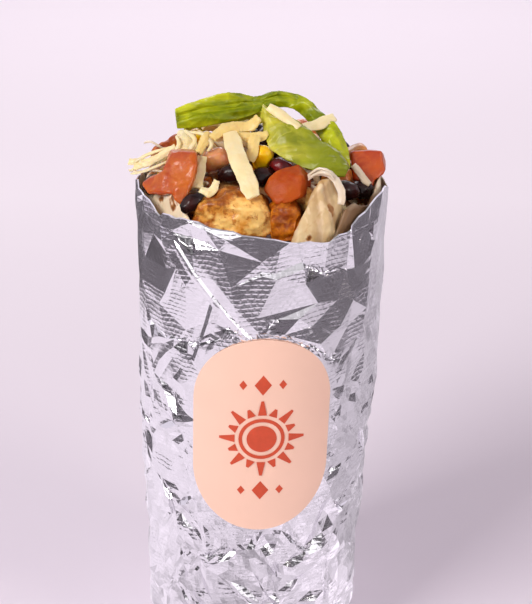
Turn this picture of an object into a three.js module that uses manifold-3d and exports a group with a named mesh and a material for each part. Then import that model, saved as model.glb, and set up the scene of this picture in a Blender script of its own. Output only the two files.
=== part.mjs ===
// A burrito standing on its folded end, wrapped in crumpled foil and open at the top, with its filling heaped
// over the rim. Millimetres, +Z up. The origin is the centre of the flat spot that it stands on, and the side with
// the label faces -Y. Turns about the axis are in degrees, from the front towards +X.

import * as THREE from "three";
import { mergeVertices } from "three/addons/utils/BufferGeometryUtils.js";
import Module from "manifold-3d";

const wasm = await Module();
wasm.setup();

// ---------------------------------------------------------------- driving dimensions

const RIM_HEIGHT = 164; // the foil's mean rim above the floor
const RIM_RADIUS = 39; // outside of the foil, upper half
const BASE_RADIUS = 35.6; // outside of the foil, just above the folded end
const FOOT_RADIUS = 31; // the flat spot
const LEAN = 4.5; // how far the rim's centre stands to the side of the foot's

const FOIL_COLUMNS = 44;
const FOIL_ROW_HEIGHTS = 14;
const FOIL_THICKNESS = 1.5; // several crumpled layers
const CRUMPLE_DEPTH = 1.1;

const LABEL_WIDTH = 44;
const LABEL_HEIGHT = 67;
const LABEL_CENTRE_HEIGHT = 97;
const LABEL_TURN = 2.5;
const LABEL_THICKNESS = 0.4;

const TORTILLA_THICKNESS = 2;
const HEAP_DEPTH_BELOW_RIM = 7; // where the filling meets the tortilla
const HEAP_RISE = 17; // the filling's crown above that

const HEAP_TILT = 3; // how much higher its back edge is than its middle's level

const GRAIN_LENGTH = 8;
const GRAIN_THICKNESS = 2.2;
const BEAN_SIZE = [9.4, 6.6, 6];
const CHEESE_THICKNESS = 1.3;
const LEAF_THICKNESS = 0.9;

const GAP = 0.35; // between pieces that touch
const TAU = 2 * Math.PI;

// ---------------------------------------------------------------- numbers and places

const radians = THREE.MathUtils.degToRad;
const { lerp, smoothstep } = THREE.MathUtils;
const vector = (x, y, z) => new THREE.Vector3(x, y, z);

// The same run of numbers from 0 to 1 every time.
function seeded(seed) {
  let state = seed * 7919 + 17;
  return () => {
    state = (Math.imul(state, 1664525) + 1013904223) >>> 0;
    return state / 4294967296;
  };
}

// A smooth uneven value, about -1 to 1, at a point.
function uneven(point, wavelength, seed) {
  const k = TAU / wavelength;
  const bend = Math.sin(k * 0.61 * point.z + seed * 2.3) + Math.cos(k * 0.53 * point.y - seed);
  const first = Math.sin(k * point.x + bend + seed);
  const second = Math.sin(k * 1.13 * point.y + 0.8 * bend - 1.9 * seed);
  const third = Math.sin(k * 0.91 * point.z - bend + 0.7 * seed);
  return (first + second + third) / 2.2;
}

// The sum of smooth swells round a rim, each { at, width, rise } in degrees and millimetres.
function swelling(degrees, swells) {
  return swells.reduce((sum, { at, width, rise }) => {
    const away = ((degrees - at + 540) % 360) - 180;
    return sum + rise * Math.exp(-((away / width) ** 2));
  }, 0);
}

const axisX = (height) => (LEAN * height) / RIM_HEIGHT;
const wrapRadius = (height) => lerp(BASE_RADIUS, RIM_RADIUS, smoothstep(height, 15, 125));

function wrapPoint(degrees, radius, height) {
  const angle = radians(degrees);
  return vector(axisX(height) + radius * Math.sin(angle), -radius * Math.cos(angle), height);
}

// ---------------------------------------------------------------- solids

// A closed wall round the axis from a profile of [radius, height] rows, which runs from the floor's centre
// outwards, up the outside and back down the inside. shape() moves each point.
function turned(profile, columns, shape) {
  const rows = profile.map(([radius, height]) => new THREE.Vector2(radius, height));
  const geometry = new THREE.LatheGeometry(rows, columns);
  const position = geometry.attributes.position;
  for (let index = 0; index < position.count; index++) {
    const column = Math.floor(index / rows.length) % columns;
    const row = index % rows.length;
    const [radius, height] = profile[row];
    position.setXYZ(index, ...shape((column * 360) / columns, radius, height, column, row));
  }
  return geometry;
}

// A closed thin solid round the middle surface that place(u, v) gives for u and v from 0 to 1. Both faces are
// split into triangles alike.
function sheet(columns, rows, thickness, place) {
  const step = 1e-3;
  const points = [];
  for (const side of [1, -1])
    for (let row = 0; row <= rows; row++)
      for (let column = 0; column <= columns; column++) {
        const [u, v] = [column / columns, row / rows];
        const across = place(Math.min(u + step, 1), v).sub(place(Math.max(u - step, 0), v));
        const along = place(u, Math.min(v + step, 1)).sub(place(u, Math.max(v - step, 0)));
        const normal = across.cross(along).normalize();
        points.push(...place(u, v).addScaledVector(normal, (side * thickness) / 2));
      }
  const faceSize = (columns + 1) * (rows + 1);
  const at = (column, row) => row * (columns + 1) + column;
  const index = [];
  for (let row = 0; row < rows; row++)
    for (let column = 0; column < columns; column++) {
      const [a, b] = [at(column, row), at(column + 1, row)];
      const [c, d] = [at(column + 1, row + 1), at(column, row + 1)];
      index.push(a, b, c, a, c, d);
      index.push(...[a, c, b, a, d, c].map((corner) => corner + faceSize));
    }
  const edge = [];
  for (let column = 0; column < columns; column++) edge.push(at(column, 0));
  for (let row = 0; row < rows; row++) edge.push(at(columns, row));
  for (let column = columns; column > 0; column--) edge.push(at(column, rows));
  for (let row = rows; row > 0; row--) edge.push(at(0, row));
  edge.forEach((from, place) => {
    const to = edge[(place + 1) % edge.length];
    index.push(from, from + faceSize, to + faceSize, from, to + faceSize, to);
  });
  const geometry = new THREE.BufferGeometry();
  geometry.setAttribute("position", new THREE.Float32BufferAttribute(points, 3));
  geometry.setIndex(index);
  return geometry;
}

// A rounded lump of the given size. Squareness 2 is an egg, and 5 a diced cube. Roughness and arch, the fall of
// its ends below its middle, are in millimetres, and taper is how much narrower its top is than its foot.
function lump(size, shape = {}) {
  const { squareness = 2, roughness = 0, wavelength = 9, seed = 1, detail = 2, arch = 0, taper = 0 } = shape;
  const geometry = new THREE.IcosahedronGeometry(1, detail);
  const position = geometry.attributes.position;
  const point = vector(0, 0, 0);
  const power = (value) => Math.abs(value) ** squareness;
  for (let index = 0; index < position.count; index++) {
    point.fromBufferAttribute(position, index).normalize();
    point.divideScalar((power(point.x) + power(point.y) + power(point.z)) ** (1 / squareness));
    point.multiply(vector(size[0] / 2, size[1] / 2, size[2] / 2));
    const swell = roughness * uneven(point, wavelength, seed);
    point.multiplyScalar(1 + swell / point.length());
    const narrowing = 1 - (taper * point.z) / size[2];
    point.x *= narrowing;
    point.y *= narrowing;
    point.z -= arch * ((2 * point.x) / size[0]) ** 2;
    position.setXYZ(index, ...point);
  }
  return geometry;
}

// A strip of the given width along a curve through points, facing the given way and curled across its width. Its
// ends are a little narrower.
function strip(points, width, thickness, facing, curl) {
  const curve = new THREE.CatmullRomCurve3(points.map((point) => vector(...point)));
  const outward = vector(...facing).normalize();
  return sheet(2, 7, thickness, (u, v) => {
    const across = curve.getTangent(v).cross(outward).normalize();
    const narrowing = 1 - 0.3 * (2 * v - 1) ** 8;
    const cup = curl * (1 - (2 * u - 1) ** 2);
    const middle = curve.getPoint(v).addScaledVector(outward, cup);
    return middle.addScaledVector(across, width * narrowing * (0.5 - u));
  });
}

// A leaf between two edge curves, cupped towards facing and ruffled along its length.
function leaf(upperEdge, lowerEdge, { columns, rows, facing, cup, ruffle, waves }) {
  const upper = new THREE.CatmullRomCurve3(upperEdge.map((point) => vector(...point)));
  const lower = new THREE.CatmullRomCurve3(lowerEdge.map((point) => vector(...point)));
  const outward = vector(...facing).normalize();
  return sheet(columns, rows, LEAF_THICKNESS, (u, v) => {
    const lift = cup * Math.sin(Math.PI * v) + ruffle * Math.sin(TAU * (waves * u + 0.35 * v)) * (v - 0.3);
    return lower.getPoint(u).lerp(upper.getPoint(u), v).addScaledVector(outward, lift);
  });
}

// ---------------------------------------------------------------- cutting and joining

function solidFrom(geometry, matrix = new THREE.Matrix4()) {
  const bare = new THREE.BufferGeometry().setAttribute("position", geometry.attributes.position.clone());
  if (geometry.index) bare.setIndex(geometry.index.clone());
  const merged = mergeVertices(bare.applyMatrix4(matrix), 1e-3);
  const corners = merged.index.array;
  const kept = [];
  for (let face = 0; face < corners.length; face += 3) {
    const [a, b, c] = corners.slice(face, face + 3);
    if (a !== b && b !== c && c !== a) kept.push(a, b, c);
  }
  const vertProperties = merged.attributes.position.array;
  return new wasm.Manifold(new wasm.Mesh({ numProp: 3, vertProperties, triVerts: new Uint32Array(kept) }));
}

function geometryFrom(solid) {
  const mesh = solid.getMesh();
  const geometry = new THREE.BufferGeometry();
  geometry.setAttribute("position", new THREE.Float32BufferAttribute(mesh.vertProperties, 3));
  geometry.setIndex([...mesh.triVerts]);
  geometry.computeVertexNormals();
  return geometry;
}

// The same solid with its skin moved out by the gap.
function spaceOf(solid) {
  const geometry = geometryFrom(solid);
  const { position, normal } = geometry.attributes;
  for (let index = 0; index < position.count; index++) {
    const point = vector(0, 0, 0).fromBufferAttribute(position, index);
    const outward = vector(0, 0, 0).fromBufferAttribute(normal, index);
    position.setXYZ(index, ...point.addScaledVector(outward, GAP));
  }
  return solidFrom(geometryFrom(solidFrom(geometry).add(solid)));
}

function largest(solid) {
  return solid.decompose().reduce((most, body) => (body.volume() > most.volume() ? body : most));
}

// ---------------------------------------------------------------- the burrito

const burrito = new THREE.Group();
const taken = []; // the space of each piece so far, with the gap round it

function finish(color, roughness, metalness = 0) {
  return new THREE.MeshStandardMaterial({ color, roughness, metalness });
}

const finishes = {
  foil: finish(0xc9c6cc, 0.22, 1),
  label: finish(0xfaccb4, 0.6),
  tortilla: finish(0xe8d6b4, 0.8),
  filling: finish(0x9a7a52, 0.7),
  chicken: finish(0xd08a3c, 0.6),
  tomato: finish(0xc9502e, 0.35),
  bean: finish(0x2c1a1e, 0.3),
  kidneyBean: finish(0x541622, 0.3),
  corn: finish(0xf2b010, 0.35),
  cheese: finish(0xf4e2ae, 0.5),
  onion: finish(0xefe9dc, 0.35),
  lettuce: finish(0x86a818, 0.45),
};

function freed(whole) {
  return largest(taken.reduce((rest, space) => rest.subtract(space), whole));
}

// Adds a piece. What it shares with the core and the pieces before it is cut off it, with the gap, unless it keeps
// clear by its own shape. Slack is how far the cut's corners may move to make fewer faces.
function add(name, geometry, material, place = {}) {
  const { at = [0, 0, 0], turn = [0, 0, 0], clear = false, slack = 0.8 * GAP } = place;
  const mesh = new THREE.Mesh(geometry, material);
  mesh.name = name;
  mesh.position.set(...at);
  mesh.rotation.set(...turn.map(radians));
  mesh.updateMatrixWorld();
  const whole = solidFrom(geometry, mesh.matrixWorld);
  const solid = clear ? whole : largest(freed(whole).simplify(slack));
  taken.push(spaceOf(solid));
  mesh.geometry = geometryFrom(solid).applyMatrix4(mesh.matrixWorld.clone().invert());
  burrito.add(mesh);
}

// ---- foil: a crumpled cup with a flat foot and an uneven rim

const FOIL_RIM = [
  { at: -80, width: 24, rise: 4 },
  { at: -52, width: 10, rise: -1.2 },
  { at: -27, width: 9, rise: 4.8 },
  { at: -4, width: 14, rise: -1.5 },
  { at: 27, width: 22, rise: -4.2 },
  { at: 68, width: 16, rise: 4 },
  { at: 180, width: 60, rise: 3 },
];
const FOIL_LIP = [{ at: -24, width: 16, rise: 1.8 }];
const RIM_ZONE = 45; // how far down the rim's swells reach

const rimShift = (height) => smoothstep(height, RIM_HEIGHT - RIM_ZONE, RIM_HEIGHT);

// 1 on bare foil and nearly 0 under the label, which holds the foil smooth.
function looseness(degrees, height) {
  const sideways = (((degrees - LABEL_TURN + 540) % 360) - 180) * radians(1) * RIM_RADIUS;
  const pastSide = Math.abs(sideways) - LABEL_WIDTH / 2;
  const pastEnd = Math.abs(height - LABEL_CENTRE_HEIGHT) - LABEL_HEIGHT / 2;
  return smoothstep(Math.max(pastSide, pastEnd), 3, 9);
}

// Broad facets of crumpled foil, from triangular waves that cross each other.
function crumple(degrees, height) {
  const waves = [
    [3, 0.9, 0.1, 1],
    [-5, 1.7, 0.4, 0.8],
    [4, -3.1, 0.7, 0.7],
    [8, 2.3, 0.2, 0.55],
    [-9, 4.7, 0.9, 0.5],
    [2, 6.1, 0.5, 0.5],
  ];
  const sum = waves.reduce((total, [turns, climbs, phase, weight]) => {
    const place = (turns * degrees) / 360 + (climbs * height) / RIM_HEIGHT + phase;
    return total + weight * (4 * Math.abs(place - Math.round(place)) - 1);
  }, 0);
  return sum / 2.2;
}

function foilProfile() {
  const profile = [[0, 0], [FOOT_RADIUS * 0.55, 0], [FOOT_RADIUS, 0]];
  profile.push([wrapRadius(4) - 1, 4]);
  for (let row = 1; row <= FOIL_ROW_HEIGHTS; row++) {
    const height = lerp(4, RIM_HEIGHT, row / FOIL_ROW_HEIGHTS);
    profile.push([wrapRadius(height), height]);
  }
  for (const height of [RIM_HEIGHT, RIM_HEIGHT * 0.82, RIM_HEIGHT * 0.5, 12])
    profile.push([wrapRadius(height) - FOIL_THICKNESS, height]);
  profile.push([FOOT_RADIUS * 0.7, FOIL_THICKNESS * 2], [0, FOIL_THICKNESS * 2]);
  return profile;
}

function foilWrap() {
  const profile = foilProfile();
  const [firstWallRow, rimRow] = [4, 3 + FOIL_ROW_HEIGHTS];
  const random = seeded(5);
  const draw = () => [random() - 0.5, random() - 0.5, random() - 0.5];
  const jitter = Array.from({ length: FOIL_COLUMNS * profile.length }, draw);
  return turned(profile, FOIL_COLUMNS, (degrees, radius, height, column, row) => {
    const lip = swelling(degrees, FOIL_LIP) * smoothstep(height, RIM_HEIGHT - 8, RIM_HEIGHT);
    const rise = swelling(degrees, FOIL_RIM) * rimShift(height);
    if (row < firstWallRow || row > rimRow) return wrapPoint(degrees, radius + lip, height + rise);
    const [around, up, out] = jitter[row * FOIL_COLUMNS + column];
    const loose = looseness(degrees, height) * (row === rimRow ? 0.4 : 1);
    const depth = CRUMPLE_DEPTH * loose * (0.75 * crumple(degrees, height) + 0.7 * out);
    const sideways = (degrees + 4 * loose * around) % 360;
    const level = height + rise + (row === rimRow ? 1.2 : 5 * loose) * up;
    return wrapPoint(sideways, radius + lip + Math.max(depth, -0.6), level);
  });
}

add("foil_wrap", foilWrap(), finishes.foil, { clear: true });

// ---- label: a stadium-shaped paper sticker on the smooth patch of the foil

function labelSheet() {
  const endRadius = LABEL_WIDTH / 2;
  const straight = LABEL_HEIGHT / 2 - endRadius;
  return sheet(8, 10, LABEL_THICKNESS, (u, v) => {
    const up = 0.985 * Math.sin((Math.PI / 2) * (2 * v - 1)) * (LABEL_HEIGHT / 2);
    const intoEnd = Math.max(Math.abs(up) - straight, 0);
    const halfWidth = Math.sqrt(endRadius ** 2 - intoEnd ** 2);
    const height = LABEL_CENTRE_HEIGHT + up;
    const radius = wrapRadius(height) + GAP + LABEL_THICKNESS;
    const degrees = LABEL_TURN + THREE.MathUtils.radToDeg(((2 * u - 1) * halfWidth) / radius);
    return wrapPoint(degrees, radius, height);
  });
}

add("label", labelSheet(), finishes.label, { clear: true });

// ---- tortilla: a cup inside the foil whose edge stands above the foil at the sides, and the corner of its outer
// turn, which stands up at the front right

const TORTILLA_RIM = [
  { at: -100, width: 24, rise: 4.5 },
  { at: -52, width: 17, rise: 7.4 },
  { at: -27, width: 12, rise: -4 },
  { at: 6, width: 22, rise: -9 },
  { at: 32, width: 8, rise: -6.5 },
  { at: 46, width: 9, rise: 6.8 },
  { at: 92, width: 22, rise: 8 },
  { at: 180, width: 50, rise: 5 },
];
const TORTILLA_LEAN = [{ at: -55, width: 22, rise: -2.2 }]; // inwards, over the filling
const TORTILLA_RIM_HEIGHT = RIM_HEIGHT - 1;
const TORTILLA_CLEARANCE = FOIL_THICKNESS + 0.5;

function tortillaCup() {
  const outside = (height) => wrapRadius(height) - TORTILLA_CLEARANCE;
  const inside = (height) => outside(height) - TORTILLA_THICKNESS;
  const floor = FOIL_THICKNESS * 2 + 0.5;
  const profile = [[0, floor], [FOOT_RADIUS * 0.65, floor], [outside(16) - 1, 16]];
  const heights = [0.5, 0.8, 0.93, 1].map((share) => share * TORTILLA_RIM_HEIGHT);
  for (const height of heights) profile.push([outside(height), height]);
  for (const height of heights.reverse()) profile.push([inside(height), height]);
  const innerFloor = floor + TORTILLA_THICKNESS;
  profile.push([inside(16) - 2, 17], [FOOT_RADIUS * 0.6, innerFloor], [0, innerFloor]);
  return turned(profile, 40, (degrees, radius, height) => {
    const nearRim = smoothstep(height, TORTILLA_RIM_HEIGHT * 0.9, TORTILLA_RIM_HEIGHT);
    const rise = swelling(degrees, TORTILLA_RIM) + 0.5 * Math.sin(radians(degrees) * 11);
    const lean = swelling(degrees, TORTILLA_LEAN);
    return wrapPoint(degrees, radius + lean * nearRim, height + rise * nearRim);
  });
}

const FLAP_TURN = 29;
const FLAP_WIDTH = 21;
const FLAP_FOOT = RIM_HEIGHT - 11;
const FLAP_TIP = RIM_HEIGHT + 11;
const FLAP_FOLD = 3.4; // how far its middle bulges outwards

function tortillaFlap() {
  const tip = vector(23.4, -23, FLAP_TIP);
  return sheet(7, 6, TORTILLA_THICKNESS, (u, v) => {
    const side = 2 * u - 1;
    const radius = wrapRadius(FLAP_FOOT) - TORTILLA_CLEARANCE - TORTILLA_THICKNESS - 1.6;
    const foot = wrapPoint(FLAP_TURN + side * 16, radius, FLAP_FOOT);
    const narrow = 1 - v ** 1.6;
    const edge = wrapPoint(FLAP_TURN, radius, FLAP_FOOT).lerp(tip, v);
    const outwards = wrapPoint(FLAP_TURN, 1, 0).normalize();
    const sideways = vector(-outwards.y, outwards.x, 0);
    const halfWidth = (FLAP_WIDTH / 2) * (0.84 * narrow + 0.16);
    const fold = FLAP_FOLD * Math.sin(Math.PI * Math.min(v + 0.18, 1)) * (1 - side ** 2);
    edge.addScaledVector(sideways, side * halfWidth).addScaledVector(outwards, fold);
    return foot.lerp(edge, smoothstep(v, 0, 0.3));
  });
}

add("tortilla_wrap", tortillaCup(), finishes.tortilla, { clear: true });
add("tortilla_flap", tortillaFlap(), finishes.tortilla);

// ---- filling: the core under everything that shows

const HEAP_CLEARANCE = TORTILLA_CLEARANCE + TORTILLA_THICKNESS + 0.6;
const HEAP_RADIUS = RIM_RADIUS - HEAP_CLEARANCE;

function heapTop(x, y) {
  const away = Math.hypot(x - axisX(RIM_HEIGHT), y) / HEAP_RADIUS;
  const towardsBack = (HEAP_TILT * y) / HEAP_RADIUS;
  const bumps = 0.9 * uneven(vector(x, y, 0), 15, 3);
  return RIM_HEIGHT - HEAP_DEPTH_BELOW_RIM + HEAP_RISE * (1 - away ** 2) + towardsBack + bumps;
}

function heapCore() {
  const wall = (height) => wrapRadius(height) - HEAP_CLEARANCE;
  const profile = [[0, 7], [FOOT_RADIUS * 0.5, 7], [wall(22) - 3, 20], [wall(75) - 0.2, 75], [wall(130), 130]];
  const shares = [1, 0.88, 0.74, 0.6, 0.46, 0.31, 0.16, 0];
  profile.push(...shares.map((share) => [share * HEAP_RADIUS, RIM_HEIGHT]));
  return turned(profile, 26, (degrees, radius, height) => {
    if (height < RIM_HEIGHT) return wrapPoint(degrees, radius, height);
    const point = wrapPoint(degrees, radius, height);
    return point.setZ(heapTop(point.x, point.y));
  });
}

const core = freed(solidFrom(heapCore()));
const coreSpace = spaceOf(core);
taken.push(coreSpace);

// ---- lettuce: a long leaf arched over the heap, a broad one below its right half, and one at the back

const LEAVES = {
  lettuce_arch: {
    upper: [
      [-22.3, 6, 187], [-13.1, 7, 190.8], [-2.9, 8, 191.8], [3.4, 9, 190.4], [11, 10, 191.9], [17.1, 9, 190.3],
      [22.3, 5, 187.3], [27.7, 0, 183.1], [30.6, -5, 178], [31.1, -8.6, 173.4],
    ],
    lower: [
      [-21.6, 3, 182.2], [-13, 3, 182.8], [-4.7, 4, 184.4], [2.4, 6, 186], [8, 8, 187.7], [15.3, 7, 186.8],
      [18.9, 3, 184.5], [21.9, -1, 180.8], [24.5, -5, 177.3], [26.3, -7.6, 173.4],
    ],
    form: { columns: 26, rows: 3, facing: [0, -0.8, 0.6], cup: 1.4, ruffle: 1.3, waves: 5 },
  },
  lettuce_blade: {
    upper: [
      [4.5, 3, 189.4], [10.9, 0, 187.5], [16.3, -4, 185.2], [22.5, -7.5, 181.6], [27.9, -10.5, 178.2],
      [30.9, -12.4, 174.9],
    ],
    lower: [
      [4.3, 1, 186.6], [5.4, -4, 182.8], [7, -9.4, 179.4], [11.9, -12.4, 177], [17.6, -14.5, 175],
      [24, -15.4, 173], [29.2, -14.4, 172.6],
    ],
    form: { columns: 14, rows: 5, facing: [0.1, -0.7, 0.7], cup: 1.8, ruffle: 0.8, waves: 2.5 },
  },
  lettuce_back: {
    upper: [[-20, 18, 180], [-12, 21, 183], [-3, 24, 182], [6, 26, 180], [14, 25, 176]],
    lower: [[-21, 23, 173], [-12, 28, 174], [-2, 31, 172.5], [7, 32, 171], [15, 29, 171]],
    form: { columns: 12, rows: 4, facing: [0, 0.8, 0.6], cup: 1.6, ruffle: 1.4, waves: 3 },
  },
};
for (const [name, { upper, lower, form }] of Object.entries(LEAVES))
  add(name, leaf(upper, lower, form), finishes.lettuce);

// ---- cheese: thick shreds that lie across each other

const TOWARDS_FRONT = [0, -0.75, 0.66];
const TOWARDS_BACK = [0, 0.75, 0.66];
const CHEESE = {
  cheese_front: { points: [[-5.2, -6.5, 183.6], [-2.2, -19, 179], [2.2, -28.4, 171]], width: 5.3 },
  cheese_bow: { points: [[-10.4, -8, 182.4], [-6, -4.6, 184.8], [0.6, -3, 184.6], [3.6, -3.4, 187.6]], width: 3 },
  cheese_drop: { points: [[2.6, -7.5, 183.4], [1.8, -10, 179.8], [0.9, -12, 176.4]], width: 3.2 },
  cheese_thin: { points: [[-11.6, -4, 183], [-13, -6.5, 180.6], [-14.8, -9, 178]], width: 2.6 },
  cheese_slab: { points: [[-18.6, 0.4, 182.2], [-18.2, -3, 180], [-17.6, -5.6, 177.4]], width: 6 },
  cheese_left: { points: [[-21.6, -4.5, 178.6], [-28.6, -4, 174.2], [-34.6, -2, 171.4]], width: 2.2 },
  cheese_left_low: { points: [[-24.4, 1, 174], [-30.6, 3, 171.4], [-37, 5, 171]], width: 1.9 },
  cheese_middle: { points: [[-13.2, -13.5, 178.6], [-14.2, -17, 175], [-14.6, -20.4, 171]], width: 3.4 },
  cheese_curl: { points: [[-13.4, -22.6, 171.2], [-10.6, -23.4, 170.6], [-8.6, -21.6, 174]], width: 2.4 },
  cheese_on_leaf: { points: [[6.4, -2, 190.4], [11, -4.4, 188], [15.6, -6.6, 185.2]], width: 2.6 },
  cheese_over_arch: { points: [[16.6, -5.6, 184.8], [21.4, -1, 184.6], [26.6, 2, 186]], width: 3.3 },
  cheese_crown: { points: [[-3.4, -5.8, 182.6], [1, -6.4, 181.8], [6.6, -5.8, 183]], width: 3 },
  cheese_back: { points: [[-14, 12, 180], [-6, 16, 178.6], [3, 17, 180]], width: 4, facing: TOWARDS_BACK },
  cheese_back_low: { points: [[16, 12, 178], [20, 19, 174], [21, 25, 169]], width: 4.6, facing: TOWARDS_BACK },
};
for (const [name, { points, width, facing = TOWARDS_FRONT }] of Object.entries(CHEESE))
  add(name, strip(points, width, CHEESE_THICKNESS, facing, 0.4), finishes.cheese);

// ---- onion: pale curved slivers

const ONION = {
  onion_over_flap: {
    points: [[18.3, -21, 174.6], [21.4, -23, 177], [25.2, -24.4, 176], [27.7, -26.6, 171.6], [27.4, -27.6, 168.6]],
    width: 2,
  },
  onion_right: { points: [[32, -8.2, 174.2], [33.5, -9.2, 172.3], [35.3, -10.2, 170.1], [37, -10.8, 168.8]], width: 1.9 },
};
for (const [name, { points, width }] of Object.entries(ONION))
  add(name, strip(points, width, CHEESE_THICKNESS, TOWARDS_FRONT, 0.3), finishes.onion);

// ---- chicken, torn and browned

const CHICKEN = {
  chicken_main: { size: [24, 13, 17], at: [-3.6, -23.6, 162.4], turn: [12, 4, -4], seed: 4, detail: 3 },
  chicken_side: { size: [10, 11, 13], at: [10.8, -25.4, 161.6], turn: [0, 12, 10], seed: 7 },
  chicken_back: { size: [20, 12, 12], at: [-8, 21, 169], turn: [-10, 8, 20], seed: 9 },
  chicken_strip: { size: [11, 4, 5], at: [-25.4, 4, 175.4], turn: [0, -32, 20], seed: 3 },
  chicken_shred: { size: [6.5, 4.6, 7], at: [17, -19.4, 167.4], turn: [0, 20, 0], seed: 8 },
};
for (const [name, { size, at, turn, seed, detail }] of Object.entries(CHICKEN)) {
  const shape = { squareness: 2.9, roughness: 0.9, wavelength: 8, seed, detail };
  add(name, lump(size, shape), finishes.chicken, { at, turn });
}

// ---- tomato, diced: flat cut faces that meet at slightly rounded corners

const CORNER_ROUNDING = 0.8;

// The hull of the corners, each a small ball.
function dice(corners) {
  const ball = new THREE.OctahedronGeometry(CORNER_ROUNDING, 1);
  return wasm.Manifold.hull(corners.map((corner) => solidFrom(ball, new THREE.Matrix4().setPosition(...corner))));
}

const DICED = {
  tomato_left: [
    [
      [-22, -14, 179.8], [-15.4, -17, 180.4], [-15.2, -20, 178], [-16, -22, 174.4], [-17.2, -23, 171.8],
      [-24.6, -17.6, 174.2], [-20.4, -22.6, 172], [-22.4, -8.4, 178.3], [-15.8, -11, 179.2], [-15.8, -13, 172.4],
      [-23.6, -11, 172.4],
    ],
    [
      [-24.8, -17.6, 174.6], [-20.6, -21.4, 173.4], [-30.6, -14.2, 170.2], [-29.4, -11.4, 170.4],
      [-28.8, -17.2, 168.9], [-25, -21, 170.4], [-20.6, -23.4, 170.8], [-23.6, -11, 171.4],
    ],
    [
      [-17.2, -23, 172.8], [-21, -23.4, 171.6], [-20.9, -24.2, 169.8], [-19.6, -24.8, 167.4], [-17.8, -24, 170.4],
      [-18, -18, 170.4], [-21, -17, 168],
    ],
  ],
  tomato_centre: [
    [
      [6.9, -21, 173.6], [5.8, -22.8, 171.3], [9.6, -26.2, 167.8], [15.2, -25.6, 170.6], [15.8, -23.2, 175.2],
      [9, -20, 175.6], [15.2, -17.4, 176.8], [18.4, -20, 169.8], [18, -17.2, 173.9], [7.4, -15.6, 171.6],
      [14.7, -14.6, 173.6], [16.6, -16.8, 168], [9.4, -18, 167.6],
    ],
  ],
  tomato_right: [
    [
      [32.2, -2.4, 176], [40.6, -1.6, 176], [41.6, -4, 171.6], [37.8, -6.8, 167.2], [33, -6.2, 169.4],
      [34.6, 5.8, 174], [41.6, 6, 173], [42, 5.4, 168.2], [34.2, 3.6, 168.6], [38, 1.8, 166.2],
    ],
  ],
};
for (const [name, pieces] of Object.entries(DICED))
  add(name, geometryFrom(wasm.Manifold.union(pieces.map(dice))), finishes.tomato, { slack: 0.2 * GAP });

const TOMATOES = {
  tomato_corner: { size: [7.4, 6, 3.6], at: [33.4, 9, 173], turn: [4, -8, 20], seed: 12 },
  tomato_pale: { size: [8.4, 6, 6.4], at: [-9.6, -6.6, 175.6], turn: [10, -24, 0], seed: 10 },
  tomato_under: { size: [9, 8, 6], at: [27.6, -5.6, 169.6], turn: [0, 12, -20], seed: 11 },
  tomato_back: { size: [11, 9, 9], at: [17, 22.6, 174.4], turn: [8, 0, 30], seed: 13 },
  tomato_back_left: { size: [12, 9, 8], at: [-22, 14, 171.8], turn: [0, -20, 40], seed: 14 },
};
for (const [name, { size, at, turn, seed }] of Object.entries(TOMATOES)) {
  const shape = { squareness: 4.6, roughness: 0.45, wavelength: 10, taper: 0.2, seed };
  add(name, lump(size, shape), finishes.tomato, { at, turn });
}

// ---- beans and corn

const BEAN_SHAPE = { squareness: 2.2, arch: 0.9, detail: 1 };
const KERNEL_SIZE = [6.2, 5, 8];
const KERNEL_SHAPE = { squareness: 2.8, taper: -0.35, detail: 1 };
const BEANS = {
  bean_front: { at: [-15.6, -25, 168.4], turn: [0, -20, 20] },
  bean_left: { at: [-27.9, -9.6, 168.7], turn: [10, 10, 64] },
  bean_middle: { at: [-4.6, -13, 173.4], turn: [0, -10, -10] },
  bean_centre: { at: [5.2, -13.6, 172.4], turn: [14, 20, 30] },
  bean_right: { at: [29.8, -14.8, 168.6], turn: [0, 14, 24] },
  bean_far_right: { at: [35, -9.4, 167], turn: [0, 24, 40] },
  bean_back: { at: [2, 29.4, 168], turn: [0, 0, 15] },
  kidney_bean: { at: [11, -11.4, 174.4], turn: [0, 28, -20], material: finishes.kidneyBean },
};
for (const [name, { at, turn, material = finishes.bean }] of Object.entries(BEANS))
  add(name, lump(BEAN_SIZE, BEAN_SHAPE), material, { at, turn });

const CORN = {
  corn_front: { at: [4.6, -8.6, 176.6], turn: [10, 14, 0] },
  corn_upper: { at: [-2.2, 1.6, 180], turn: [20, -10, 40] },
  corn_left: { at: [-16.4, 6, 177.4], turn: [0, 40, 0] },
  corn_back: { at: [8, 22, 174.6], turn: [-30, 10, 20] },
};
for (const [name, { at, turn }] of Object.entries(CORN))
  add(name, lump(KERNEL_SIZE, KERNEL_SHAPE), finishes.corn, { at, turn });

// ---- rice and beans fused to the core, where nothing else lies

const GRAIN_COUNT = 70;
const HEAP_BEAN_COUNT = 12;
const GOLDEN_TURN = 137.508;

function onHeap(share, turns, lift) {
  const point = wrapPoint(turns, share * (HEAP_RADIUS - GRAIN_LENGTH / 2), RIM_HEIGHT);
  return point.setZ(heapTop(point.x, point.y) + lift);
}

// Copies of a loose piece, spread evenly over the heap, that touch no other piece.
function scatter(geometry, count, lift, seed) {
  const random = seeded(seed);
  const others = taken.filter((space) => space !== coreSpace);
  const placed = [];
  for (let item = 0; item < count; item++) {
    const tilt = new THREE.Euler(0.5 * (random() - 0.5), 0.5 * (random() - 0.5), TAU * random());
    const place = onHeap(Math.sqrt((item + 0.5) / count), item * GOLDEN_TURN + seed, lift);
    const matrix = new THREE.Matrix4().makeRotationFromEuler(tilt).setPosition(place);
    const solid = solidFrom(geometry, matrix);
    if (others.every((space) => solid.intersect(space).isEmpty())) placed.push(solid);
  }
  return placed;
}

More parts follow.
